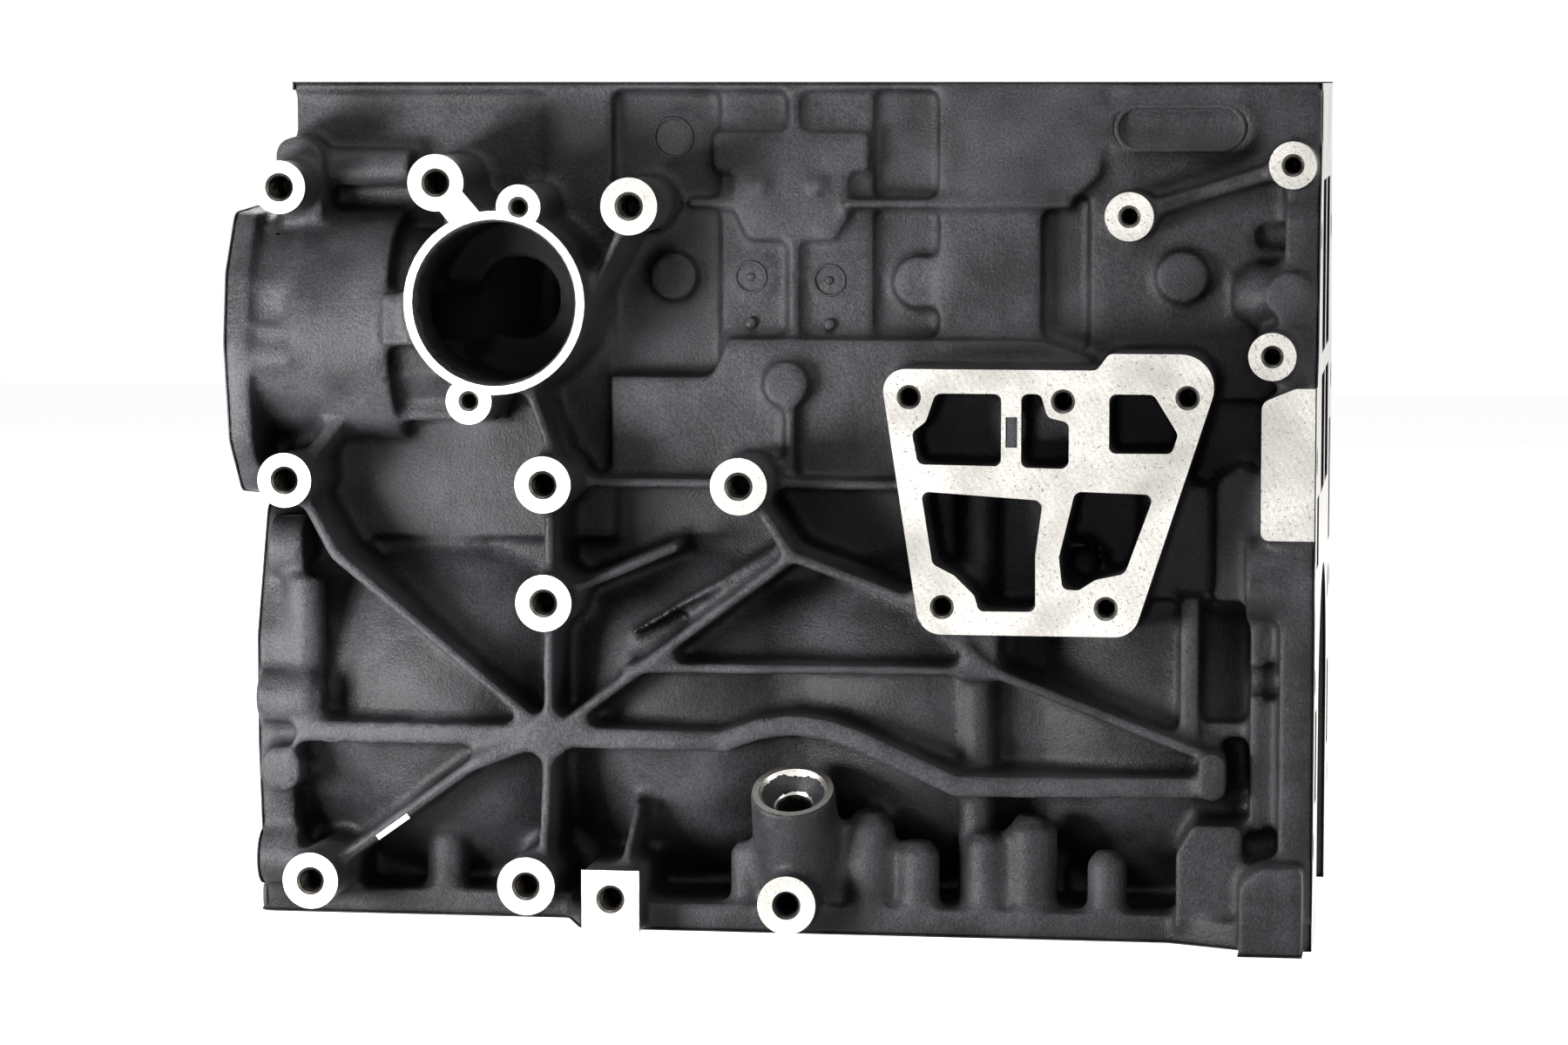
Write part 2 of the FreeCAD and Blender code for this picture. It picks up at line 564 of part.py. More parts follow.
def thermostat():
    """Thermostat pocket with its ring and lugs."""
    ring_r = stat_ring_d / 2.0
    bore_r = stat_bore_d / 2.0
    add = [cone(vec(stat_x, -50, stat_z), -EY, ring_r + 2.6, ring_r, boss_d - 50)]
    cut = [
        rod(vec(stat_x, -boss_d - 1, stat_z), EY, bore_r, stat_depth + 1),
        cone(vec(stat_x, -boss_d - 0.1, stat_z), EY, bore_r + 1.2, bore_r, 1.2),
        rod(vec(stat_x, -boss_d + stat_depth - 1, stat_z), EY, 15.0, boss_d - stat_depth - 44),
    ]
    for x, z, r in stat_lugs:
        add.append(boss(x, z, r, 60, boss_d))
        cut += tapped(x, z, tap_m6 + 0.4, boss_d, tap_depth)
    add.append(rib((boss_b[0], boss_b[1]), (stat_x - 3, stat_z + 22), 11.0, 60, boss_d))
    add.append(rib(stat_lugs[0][:2], (stat_x + 5, stat_z + 20), 9.0, 60, boss_d))
    add.append(slab(stat_x - 42.4, stat_x - bore_r - 1.5, 50, boss_d - 3, 140, 159))
    add.append(slab(stat_x - 46.2, stat_x - 10, 50, 98, 127, 131))
    add.append(slab(stat_x - 46.2, stat_x - 4, 50, 90, 111, 115))
    return add, cut


def pump_housing():
    """The water pump housing on the timing end, its cavity and the passage to the thermostat pocket."""
    centre = vec(0, pump_y, pump_z)
    face = vec(pump_face_x, 0, 0)
    flange = [
        (-50, 190), (pump_y - 26, 188), (pump_y - 41, 166), (pump_y - 45, 140), (pump_y - 38, 104), (pump_y - 20, 84),
        (-50, 80),
    ]
    add = [
        rod(face + vec(25, 0, 0) + centre, EX, pump_r, 36),
        rod(face + vec(60, 0, 0) + centre, EX, pump_r - 8, 22),
        rod(face + centre, EX, pump_r - 1.5, 26),
        profile_x(flange, pump_face_x, pump_face_x + 9, 8),
        rod(vec(pump_face_x, -101, 136), EX, 8.2, 25),
        rod(face + vec(34, -76, 204.5), EX, 7.2, 30),
    ]
    cut = [
        rod(vec(pump_face_x - 1, 0, 0) + centre, EX, pump_bore_d / 2.0, pump_depth + 1),
        rod(vec(pump_face_x + pump_depth - 1, pump_y - 6, pump_z + 2), EX, 15.0, stat_x - 9 - pump_face_x - pump_depth),
        slab(pump_face_x + 9.5, pump_face_x + 23, 105, 120, 147, 176),
        slab(pump_face_x + 9.5, pump_face_x + 23, 104, 120, 101, 127),
    ]
    return add, cut


# ---- exhaust side --------------------------------------------------------------------------------------------
def exhaust_side():
    """The plainer far side: web ribs, a belt, core plug bosses, bracket bosses and their holes."""
    b = back_d
    add = []
    cut = []
    add.append(slab(front_x + 4, rear_x - 4, 50, b + 7, 84, 92))
    for x in web_x[1:-1]:
        add.append(rib((x, 88), (x, deck_z - lip_t), 6.0, 50, b + 5))
        add.append(rib((x, 88), (x, pan_z + 6), 6.0, 40, rail_back_d - 2))
    for x in cyl_x:
        add.append(boss(x, core_plug_z, core_plug_d / 2.0 + 4.0, 50, b + 4))
    first, third, last = cyl_x[0], cyl_x[-2], cyl_x[-1]
    bracket = [(first - 32, 128), (first + 20, 128), (first - 32, 60), (first + 20, 60), (third + 16, 118), (last - 20, 118)]
    for x, z in bracket:
        add.append(boss(x, z, boss_r, 50, rail_back_d + 4))
        cut += tapped(x, z, tap_m10, rail_back_d + 4, tap_depth)
    add.append(rib(bracket[0], bracket[3], 5.0, 50, rail_back_d - 4))
    add.append(rib(bracket[1], bracket[2], 5.0, 50, rail_back_d - 4))
    for x in cyl_x[2:]:
        add += rib_chain([(x - bore_pitch / 2, 84), (x, 10), (x + bore_pitch / 2, 84)], 4.5, 40, rail_back_d - 4)
    for x in cyl_x:
        add += column(x, -rail_back_d + 9, 8.0, pan_z + 2, pan_z + 34)
    # turbocharger drain boss
    add.append(boss(0.0, 20.0, 15.0, 50, rail_back_d + 2))
    cut.append(rod(vec(0, -rail_back_d - 3, 20), EY, 7.0, 40))
    cut.append(cone(vec(0, -rail_back_d - 2.1, 20), EY, 8.5, 7.0, 1.6))
    # main oil gallery and its two end holes
    add.append(rod(vec(nose_x + 1, -b - 2, 40), EX, 12.0, rear_x - nose_x - 2))
    cut.append(rod(vec(nose_x - 5, -b - 2, 40), EX, 5.0, rear_x - nose_x + 10))
    cut.append(rod(vec(nose_x - 5, -b - 2, 40), EX, gallery_d / 2.0, 19))
    cut.append(rod(vec(rear_x + 5, -b - 2, 40), -EX, gallery_d / 2.0, 19))
    return mirrored(add), mirrored(cut)


def end_face_holes():
    """Groups of holes and recesses: gearbox flange, timing face, pump screws, pan rail, recesses of the gearbox face."""
    flange = []
    for y, z in ((-99, 100), (-97, 20), (-97, -40), (-70, 180), (70, 180), (90, 120), (96, 40), (92, -40)):
        flange.append(rod(vec(rear_x + 1, y, z), -EX, 5.1, 25))
    timing = []
    for y, z in ((-76, 40), (-78, -20), (76, 20), (78, -20), (-64, -64), (64, -64)):
        timing.append(rod(vec(nose_x - 1, y, z), EX, 3.4, 20))
    screws = []
    for angle in (35, 125, 200, 290):
        a = math.radians(angle)
        screws.append(rod(vec(pump_face_x - 1, pump_y + 38.5 * math.cos(a), pump_z + 38.5 * math.sin(a)), EX, 2.2, 18))
    rail = []
    for x, r, top, d in rail_columns:
        rail.append(rod(vec(x, -d, pan_z - 1), EZ, 3.4, 20))
    for x in cyl_x:
        rail.append(rod(vec(x, rail_back_d - 9, pan_z - 1), EZ, 3.4, 20))
    recesses = []
    for side, y0, y1, z0, z1 in ((-1, 68, 92, 60, 86), (-1, 74, 92, -26, 8), (1, 68, 86, 56, 104), (1, 70, 88, -26, 8)):
        recesses.append(box(rear_x - 8, rear_x + 1, min(side * y0, side * y1), max(side * y0, side * y1), z0, z1))
    for y0, y1 in ((-46, -6), (6, 46)):
        recesses.append(box(rear_x - 6, rear_x + 1, y0, y1, 84, 128))
        recesses.append(box(rear_x - 6, rear_x + 1, y0, y1, 136, 200))
    return [flange, timing, screws, rail, recesses]


def block_casting():
    """The whole casting: everything that stands out is joined first, then every space and hole is cut."""
    body = fused(crankcase())
    for build in (jacket, jacket_panels, crankcase_ribs, timing_end, gearbox_end):
        body = body.fuse(build()).removeSplitter()
    cuts = [crank_space(), water_space(), deck_holes()] + end_face_holes()
    for build in (accessory_faces, filter_flange, thermostat, pump_housing, dipstick, exhaust_side):
        add, cut = build()
        body = body.fuse(add).removeSplitter()
        cuts.append(cut)
    columns = []
    for x, r, top, d in rail_columns:
        columns += column(x, -d, r, pan_z + 2, top)
    body = body.fuse(columns).removeSplitter()
    for cut in cuts:
        body = body.cut(cut).removeSplitter()
    return body


# ---- the separate pieces -------------------------------------------------------------------------------------
def bearing_cap(i):
    """One main bearing cap; the middle one has recesses for the thrust washers."""
    x0 = web_x[i] - cap_t / 2.0
    h = cap_half
    outline = [(-h, 0), (-h, -cap_h + 6), (-h + 5, -cap_h), (h - 5, -cap_h), (h, -cap_h + 6), (h, 0)]
    body = profile_x(outline, x0, x0 + cap_t)
    cuts = [rod(vec(x0 - 1, 0, 0), EX, main_bore_d / 2.0, cap_t + 2)]
    for side in (-1, 1):
        cuts.append(rod(vec(web_x[i], side * cap_bolt_y, -cap_h - 1), EZ, cap_bolt_d / 2.0 + bolt_gap, cap_h + 2))
    for x in (x0 - 1, x0 + cap_t - 2.5):
        cuts.append(profile_x([(-24, -cap_h - 1), (-18, -cap_h + 7), (18, -cap_h + 7), (24, -cap_h - 1)], x, x + 3.5))
    if i == cylinders // 2:
        for x in (x0 - 1, x0 + cap_t - 1.2):
            cuts.append(rod(vec(x, 0, 0), EX, main_bore_d / 2.0 + 7.0, 2.2))
    return body.cut(cuts)


def hexagon(centre, across, height):
    """A hexagon prism round Z."""
    r = across / math.sqrt(3.0)
    points = []
    for k in range(7):
        a = math.radians(60 * k)
        points.append(centre + vec(r * math.cos(a), r * math.sin(a), 0))
    return Part.Face(Part.makePolygon(points)).extrude(vec(0, 0, height))


def cap_bolts():
    """Ten flanged hexagon bolts, two to a cap."""
    bolts = []
    for x in web_x:
        for side in (-1, 1):
            seat = vec(x, side * cap_bolt_y, -cap_h)
            shank = rod(seat, EZ, cap_bolt_d / 2.0, cap_h + 54)
            flange = cone(seat, -EZ, 10.2, 9.4, 2.6)
            head = hexagon(seat - EZ * 12.5, 16.0, 10.5)
            bolts.append(fused([shank, flange, head]).removeSplitter())
    return Part.makeCompound(bolts)


def core_plugs():
    """Pressed cup plugs in the core holes of the exhaust side."""
    plugs = []
    r = core_plug_d / 2.0 - plug_gap
    for x in cyl_x:
        start = vec(x, back_d - 4, core_plug_z)
        cup = rod(start, EY, r, 7.5)
        plugs.append(cup.cut(cone(start + EY * 2.0, EY, r - 2.6, r - 1.8, 8)))
    return Part.makeCompound(plugs)


def gallery_plugs():
    """Screwed plugs with a hexagon socket at both ends of the main oil gallery."""
    plugs = []
    r = gallery_d / 2.0 - plug_gap
    for x, way in ((nose_x + 1.0, 1), (rear_x - 1.0, -1)):
        start = vec(x, back_d + 2, 40)
        body = rod(start, EX * way, r, 11)
        socket = hexagon(vec(0, 0, 0), 8.0, 5.0)
        socket.rotate(vec(0, 0, 0), EY, 90)
        socket.translate(start - (vec(0, 0, 0) if way > 0 else EX * 5))
        plugs.append(body.cut(socket))
    return Part.makeCompound(plugs)


def save(name, shape):
    shape.exportStep(os.path.join("parts", name + ".step"))


def main():
    os.makedirs("parts", exist_ok=True)
    save("block_casting", block_casting())
    for i in range(len(web_x)):
        save("main_bearing_cap_%d" % (i + 1), bearing_cap(i))
    save("main_cap_bolts", cap_bolts())
    save("core_plugs", core_plugs())
    save("gallery_plugs", gallery_plugs())


main()
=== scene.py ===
"""Looks of a four-cylinder engine block.

The block is a black painted iron casting with milled faces, honed bores and cut threads. Its skin is rounded
off as a sand mould leaves it, and what tools have cut is laid over that with crisp edges.
"""
import json
import logging
import math
from collections.abc import Iterator
from dataclasses import dataclass
from enum import Enum

import bpy
import numpy as np
import openvdb
from mathutils import Matrix, Vector


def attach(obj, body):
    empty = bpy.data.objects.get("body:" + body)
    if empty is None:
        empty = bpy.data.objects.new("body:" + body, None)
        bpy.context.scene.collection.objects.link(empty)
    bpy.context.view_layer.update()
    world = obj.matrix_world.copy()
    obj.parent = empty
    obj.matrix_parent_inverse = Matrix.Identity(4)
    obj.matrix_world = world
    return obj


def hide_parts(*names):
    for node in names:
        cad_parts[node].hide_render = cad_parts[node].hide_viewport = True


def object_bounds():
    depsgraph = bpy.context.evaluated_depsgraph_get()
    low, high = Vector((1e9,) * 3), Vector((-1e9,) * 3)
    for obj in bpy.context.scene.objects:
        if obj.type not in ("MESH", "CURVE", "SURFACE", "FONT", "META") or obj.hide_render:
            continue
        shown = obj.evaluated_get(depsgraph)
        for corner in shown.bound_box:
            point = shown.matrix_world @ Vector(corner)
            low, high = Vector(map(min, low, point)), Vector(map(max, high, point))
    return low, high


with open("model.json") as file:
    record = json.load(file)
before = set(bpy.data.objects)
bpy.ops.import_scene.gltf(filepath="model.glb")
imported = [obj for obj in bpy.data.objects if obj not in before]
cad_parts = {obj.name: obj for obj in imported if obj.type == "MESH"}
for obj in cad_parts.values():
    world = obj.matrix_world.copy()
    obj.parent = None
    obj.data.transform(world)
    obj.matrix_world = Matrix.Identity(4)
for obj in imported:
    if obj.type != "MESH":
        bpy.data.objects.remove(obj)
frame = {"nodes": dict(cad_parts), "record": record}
CAD_BOX = [list(corner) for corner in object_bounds()]

LOG = logging.getLogger("engine_block")
MM = 0.001
# Edges sharper than these stay sharp: on cut pieces, on cast ones and in the dipstick seat.
SMOOTH_ANGLE = math.radians(32)
CAST_ANGLE = math.radians(60)
SEAT_ANGLE = math.radians(24)
# Three numbers, along, across and up: a place, a direction or sizes.
Point = tuple[float, float, float]


class Axis(Enum):
    """The three directions of the block's frame, by their place in a point."""

    X = 0
    Y = 1
    Z = 2


# ---- meshes --------------------------------------------------------------------------------------
@dataclass
class Surface:
    """A triangle surface in millimetres.

    Args:
        points: corner points, one row each.
        triangles: three point numbers a row, wound so that faces point outwards.
    """

    points: np.ndarray
    triangles: np.ndarray

    def corners(self) -> np.ndarray:
        """The three corners of each triangle."""
        return self.points[self.triangles]

    def centres(self) -> np.ndarray:
        """The middle of each triangle."""
        return self.corners().mean(axis=1)

    def normals(self) -> np.ndarray:
        """Unit normals: the cross product of two edges, by its length."""
        corner = self.corners()
        normal = np.cross(corner[:, 1] - corner[:, 0], corner[:, 2] - corner[:, 0])
        length = np.linalg.norm(normal, axis=1, keepdims=True)
        return normal / np.maximum(length, 1e-12)

    def part(self, keep: np.ndarray) -> "Surface":
        """The triangles of a mask, with only the points that they use."""
        used, renumbered = np.unique(self.triangles[keep], return_inverse=True)
        return Surface(self.points[used], renumbered.reshape(-1, 3))

    def patches(self) -> np.ndarray:
        """A number for each triangle that is the same over each connected patch.

        Each point takes the lowest number among its neighbours, again and again, until nothing changes.
        """
        edge_a = self.triangles.ravel()
        edge_b = np.roll(self.triangles, 1, axis=1).ravel()
        label = np.arange(len(self.points))
        while True:
            low = np.minimum(label[edge_a], label[edge_b])
            lower = label.copy()
            np.minimum.at(lower, label[edge_a], low)
            np.minimum.at(lower, label[edge_b], low)
            for _ in range(4):
                lower = lower[lower]
            if np.array_equal(lower, label):
                return label[self.triangles[:, 0]]
            label = lower

    def patch_boxes(self) -> Iterator[tuple[np.ndarray, np.ndarray, np.ndarray]]:
        """Goes through the connected patches.

        Returns:
            For each patch a mask of its triangles, and the lowest and the highest corner of its box.
        """
        corner, label = self.corners(), self.patches()
        for patch in np.unique(label):
            mine = label == patch
            yield mine, corner[mine].min(axis=(0, 1)), corner[mine].max(axis=(0, 1))


def welded(surface: Surface) -> Surface:
    """A surface whose corners within a micrometre are one, without the triangles that this makes flat."""
    grid = np.round(surface.points * 1000.0).astype(np.int64)
    unique, place = np.unique(grid, axis=0, return_inverse=True)
    triangles = place.ravel()[surface.triangles].reshape(-1, 3)
    flat = (triangles == np.roll(triangles, 1, axis=1)).any(axis=1)
    return Surface(unique / 1000.0, triangles[~flat])


def merged(node: str) -> Surface:
    """A CAD node as one closed surface, its doubled corners made one.

    Args:
        node: name of the CAD node.

    Returns:
        The surface in millimetres.
    """
    mesh = frame["nodes"][node].data
    mesh.calc_loop_triangles()
    points = np.empty(len(mesh.vertices) * 3, np.float32)
    mesh.vertices.foreach_get("co", points)
    triangles = np.empty(len(mesh.loop_triangles) * 3, np.int32)
    mesh.loop_triangles.foreach_get("vertices", triangles)
    return welded(Surface(points.reshape(-1, 3).astype(np.float64) / MM, triangles.reshape(-1, 3)))


def turn_angles(count: int) -> np.ndarray:
    """Angles of equal steps round a full turn."""
    return np.arange(count) * 2.0 * math.pi / count


def revolved(profile: np.ndarray, centre: np.ndarray, axis: np.ndarray, count: int = 96) -> Surface:
    """A profile turned about an axis, its seam closed.

    Args:
        profile: rows of radius and height along the axis, mm, walked so that faces point outwards.
        centre: point of height 0 on the axis.
        axis: its direction.
        count: steps round the axis.

    Returns:
        The surface, a grid of profile points by steps.
    """
    axis = axis / np.linalg.norm(axis)
    side = np.cross(axis, [1.0, 0.0, 0.0] if abs(axis[0]) < 0.9 else [0.0, 1.0, 0.0])
    side /= np.linalg.norm(side)
    other = np.cross(axis, side)
    turn = turn_angles(count)
    rim = np.outer(np.cos(turn), side) + np.outer(np.sin(turn), other)
    points = centre + profile[:, None, :1] * rim[None] + profile[:, None, 1:] * axis
    return Surface(points.reshape(-1, 3), grid_triangles(len(profile), count, True))


def grid_triangles(rows: int, columns: int, closed: bool) -> np.ndarray:
    """Two triangles for each cell of a grid of points.

    Args:
        rows: points one way.
        columns: points the other way.
        closed: whether the last column joins the first.

    Returns:
        Three point numbers a row.
    """
    steps = columns if closed else columns - 1
    row, column = np.meshgrid(np.arange(rows - 1), np.arange(steps), indexing="ij")
    after = (column + 1) % columns
    a, b = row * columns + column, row * columns + after
    c, d = b + columns, a + columns
    return np.stack([a, b, c, a, c, d], axis=-1).reshape(-1, 3)


def box_surface(low: np.ndarray, high: np.ndarray) -> Surface:
    """A closed box.

    Args:
        low: its lowest corner, mm.
        high: its highest corner, mm.

    Returns:
        Its twelve triangles.
    """
    corner = np.array([(i, j, k) for i in (0, 1) for j in (0, 1) for k in (0, 1)])
    quads = np.array([(0, 1, 3, 2), (4, 6, 7, 5), (0, 4, 5, 1), (2, 3, 7, 6), (0, 2, 6, 4), (1, 5, 7, 3)])
    triangles = np.concatenate([quads[:, [0, 1, 2]], quads[:, [0, 2, 3]]])
    return Surface(low + corner * (high - low), triangles)


def joined(surfaces: list[Surface]) -> Surface:
    """Several surfaces as one, the point numbers of each moved up by the points before it."""
    starts = np.cumsum([0] + [len(surface.points) for surface in surfaces[:-1]])
    triangles = [surface.triangles + start for surface, start in zip(surfaces, starts)]
    return Surface(np.concatenate([surface.points for surface in surfaces]), np.concatenate(triangles))


def facing_out(surface: Surface) -> Surface:
    """A form on the accessory side, turned inside out if its faces point into the block."""
    if surface.normals()[:, Axis.Y.value].mean() > 0.0:
        surface.triangles = surface.triangles[:, ::-1]
    return surface


def new_piece(name: str, surface: Surface, materials: list[bpy.types.Material],
              index: np.ndarray | None = None, angle: float | None = SMOOTH_ANGLE) -> bpy.types.Object:
    """Puts a surface into the scene as a piece that rides on the block.

    Args:
        name: name of the piece.
        surface: its triangles, in millimetres.
        materials: its materials.
        index: which material each triangle takes, or None for the first.
        angle: edges sharper than this stay sharp; None keeps every face flat.

    Returns:
        The new object.
    """
    mesh = bpy.data.meshes.new(name)
    count = len(surface.triangles)
    mesh.vertices.add(len(surface.points))
    mesh.vertices.foreach_set("co", (surface.points * MM).astype(np.float32).ravel())
    mesh.loops.add(count * 3)
    mesh.loops.foreach_set("vertex_index", surface.triangles.astype(np.int32).ravel())
    mesh.polygons.add(count)
    mesh.polygons.foreach_set("loop_start", np.arange(0, count * 3, 3, dtype=np.int32))
    mesh.polygons.foreach_set("use_smooth", np.full(count, angle is not None))
    for material in materials:
        mesh.materials.append(material)
    if index is not None:
        mesh.polygons.foreach_set("material_index", index.astype(np.int32))
    mesh.update(calc_edges=True)
    mesh.validate()
    if angle is not None:
        mesh.set_sharp_from_angle(angle=angle)
    piece = bpy.data.objects.new(name, mesh)
    bpy.context.scene.collection.objects.link(piece)
    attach(piece, "root")
    LOG.info("%s: %d triangles", name, count)
    return piece


# ---- finishes ------------------------------------------------------------------------------------
def linear(hexcode: str) -> tuple[float, float, float, float]:
    """An sRGB hex colour as linear red, green, blue and 1."""
    parts = [int(hexcode[i:i + 2], 16) / 255.0 for i in (1, 3, 5)]
    return tuple(c / 12.92 if c <= 0.04045 else ((c + 0.055) / 1.055) ** 2.4 for c in parts) + (1.0,)


def add_node(owner: bpy.types.Material | bpy.types.World, kind: str, settings: dict | None = None,
             **inputs: object) -> bpy.types.Node:
    """Adds one shader node with its settings and links.

    Args:
        owner: the material or world it goes into.
        kind: node type.
        settings: properties of the node.
        **inputs: socket values or links; a name has its spaces as underscores, and i0, i1 are places.

    Returns:
        The node.
    """
    tree = owner.node_tree
    node = tree.nodes.new(kind)
    for name, value in (settings or {}).items():
        setattr(node, name, value)
    for name, value in inputs.items():
        place = int(name[1:]) if name[0] == "i" and name[1:].isdigit() else name.replace("_", " ")
        socket = node.inputs[place]
        if isinstance(value, bpy.types.NodeSocket):
            tree.links.new(value, socket)
        else:
            socket.default_value = value
    return node


def darkened(material: bpy.types.Material, colour: bpy.types.NodeSocket, value: bpy.types.NodeSocket,
             low: float, span: tuple[float, float] = (0.0, 1.0)) -> bpy.types.NodeSocket:
    """A colour that is darker where a value is small.

    Args:
        material: the material it goes into.
        colour: the full colour.
        value: what darkens it.
        low: share of the brightness that is left at the start of the span.
        span: the value where the brightness is lowest, and the value from which it is full.

    Returns:
        The colour times the value, mapped from the span to low and 1.
    """
    share = add_node(material, "ShaderNodeMapRange", Value=value, From_Min=span[0], From_Max=span[1],
                     To_Min=low, To_Max=1.0).outputs[0]
    return add_node(material, "ShaderNodeMix", {"data_type": "RGBA", "blend_type": "MULTIPLY"}, Factor=1.0,
                    i6=colour, i7=share).outputs[2]


@dataclass(frozen=True)
class Finish:
    """One finish of the block.

    Args:
        name: common name of the material.
        dark: colour of the grain's low places, sRGB hex.
        light: colour of its high places.
        metallic: 1 for bare metal, 0 for paint, between them for a dull or coated metal.
        roughness: lowest and highest roughness.
        grain_mm: size of one grain.
        grain_depth_mm: height of the grain.
        wave_mm: length of the slow unevenness, 0 for none.
        wave_depth_mm: its height.
        speck: how far up the noise dark pores reach, 0 for none.
        gloss: specular level of a paint; bare metal keeps 0.5.
        feed_mm: spacing of the arcs that a face mill leaves, 0 for none.
        hatch_mm: spacing of the crossed grooves of a hone, 0 for none.
        corner_shade: share of its brightness that it loses in deep corners, as painted shade where walls
            close in.
        corner_shade_mm: distance within which other walls darken a corner with painted shade.
        corner_shade_span: share of open sky in the deepest corner, and from which share on it is no corner.
        shade_span: product of the two noises that gives the dark colour, and that which gives the light one.
        rough_span: the same for the lowest and the highest roughness.
        cloud_mm: least length of the slow change in shade.
        pore_mm: spacing of the pores.
        pore_colour: their colour, sRGB hex.
        pore_span: noise inside a pore and at its rim, before the speck is added.
        feed_shade: brightness between two arcs of the face mill.
        cutter: way from the middle of the arcs to the block's origin, metres.
        hatch_shade: brightness at the bottom of a honed groove.
        hatch_slope: rise of a groove for its way round the bore.
    """

    name: str
    dark: str
    light: str
    metallic: float
    roughness: tuple[float, float]
    grain_mm: float
    grain_depth_mm: float
    wave_mm: float = 0.0
    wave_depth_mm: float = 0.0
    speck: float = 0.0
    gloss: float = 0.5
    feed_mm: float = 0.0
    hatch_mm: float = 0.0
    corner_shade: float = 0.0
    corner_shade_mm: float = 26.0
    corner_shade_span: tuple[float, float] = (0.25, 0.95)
    shade_span: tuple[float, float] = (0.15, 0.4)
    rough_span: tuple[float, float] = (0.1, 0.45)
    cloud_mm: float = 25.0
    pore_mm: float = 0.9
    pore_colour: str = "#918e89"
    pore_span: tuple[float, float] = (0.27, 0.30)
    feed_shade: float = 0.93
    cutter: Point = (0.9, 0.7, 0.5)
    hatch_shade: float = 0.8
    hatch_slope: float = 0.55

    def make(self) -> bpy.types.Material:
        """Builds the material.

        Returns:
            A material whose shade and roughness follow two noises in object space, one as fine as the grain
            and one as long as the wave, and whose bumps follow the grain or the tool marks, and the wave.
        """
        material = bpy.data.materials.new(self.name)
        material.use_nodes = True
        material.node_tree.nodes.clear()
        place = add_node(material, "ShaderNodeTexCoord").outputs["Object"]
        height = add_node(material, "ShaderNodeTexNoise", Vector=place, Scale=1.0 / (self.grain_mm * MM),
                          Detail=3.0, Roughness=0.6).outputs["Fac"]
        cloud = add_node(material, "ShaderNodeTexNoise", Vector=place, Detail=2.0,
                         Scale=1.0 / (max(self.wave_mm, self.cloud_mm) * MM)).outputs["Fac"]
        shade = add_node(material, "ShaderNodeMath", {"operation": "MULTIPLY"}, i0=height,
                         i1=cloud).outputs[0]
        rough = add_node(material, "ShaderNodeMapRange", Value=shade, From_Min=self.rough_span[0],
                         From_Max=self.rough_span[1], To_Min=self.roughness[0],
                         To_Max=self.roughness[1]).outputs[0]
        base = self.colour(material, place, shade)
        if self.feed_mm > 0.0:
            height = self.feed(material, place)
            base = darkened(material, base, height, self.feed_shade)
        if self.hatch_mm > 0.0:
            height = self.hatch(material, place)
            base = darkened(material, base, height, self.hatch_shade)
        shader = add_node(material, "ShaderNodeBsdfPrincipled", Base_Color=base, Metallic=self.metallic,
                          Roughness=rough, Specular_IOR_Level=self.gloss,
                          Normal=self.relief(material, place, height))
        add_node(material, "ShaderNodeOutputMaterial", Surface=shader.outputs[0])
        return material

    def colour(self, material: bpy.types.Material, place: bpy.types.NodeSocket,
               shade: bpy.types.NodeSocket) -> bpy.types.NodeSocket:
        """The colour before any tool marks.

        Args:
            material: the material it goes into.
            place: point in object space.
            shade: 0 to 1, from dark to light.

        Returns:
            A blend from dark to light, with dark pores and painted shade in deep corners.
        """
        ramp = add_node(material, "ShaderNodeValToRGB", Fac=shade)
        ends = zip(ramp.color_ramp.elements, self.shade_span, (self.dark, self.light))
        for element, position, hexcode in ends:
            element.position = position
            element.color = linear(hexcode)
        base = ramp.outputs["Color"]
        if self.speck > 0.0:
            pores = add_node(material, "ShaderNodeTexNoise", Vector=place, Scale=1.0 / (self.pore_mm * MM),
                             Detail=1.0)
            edge = add_node(material, "ShaderNodeMapRange", Value=pores.outputs["Fac"],
                            From_Min=self.pore_span[0] + self.speck, From_Max=self.pore_span[1] + self.speck)
            base = add_node(material, "ShaderNodeMix", {"data_type": "RGBA"}, Factor=edge.outputs[0],
                            i6=linear(self.pore_colour), i7=base).outputs[2]
        # Painted shade: the colour darkens where the ambient occlusion node finds walls close by.
        if self.corner_shade > 0.0:
            corner = add_node(material, "ShaderNodeAmbientOcclusion", {"samples": 6},
                              Distance=self.corner_shade_mm * MM)
            base = darkened(material, base, corner.outputs["AO"], 1.0 - self.corner_shade, self.corner_shade_span)
        return base

    def feed(self, material: bpy.types.Material, place: bpy.types.NodeSocket) -> bpy.types.NodeSocket:
        """The arcs of a face mill.

        Args:
            material: the material they go into.
            place: point in object space.

        Returns:
            The height, 0 to 1: rings about a far point, 10 / pi of them to a metre for a scale of 1.
        """
        far = add_node(material, "ShaderNodeMapping", Vector=place, Location=self.cutter).outputs[0]
        rings = {"wave_type": "RINGS", "rings_direction": "SPHERICAL"}
        return add_node(material, "ShaderNodeTexWave", rings, Vector=far, Distortion=0.3,
                        Scale=math.pi / (10.0 * self.feed_mm * MM)).outputs["Fac"]

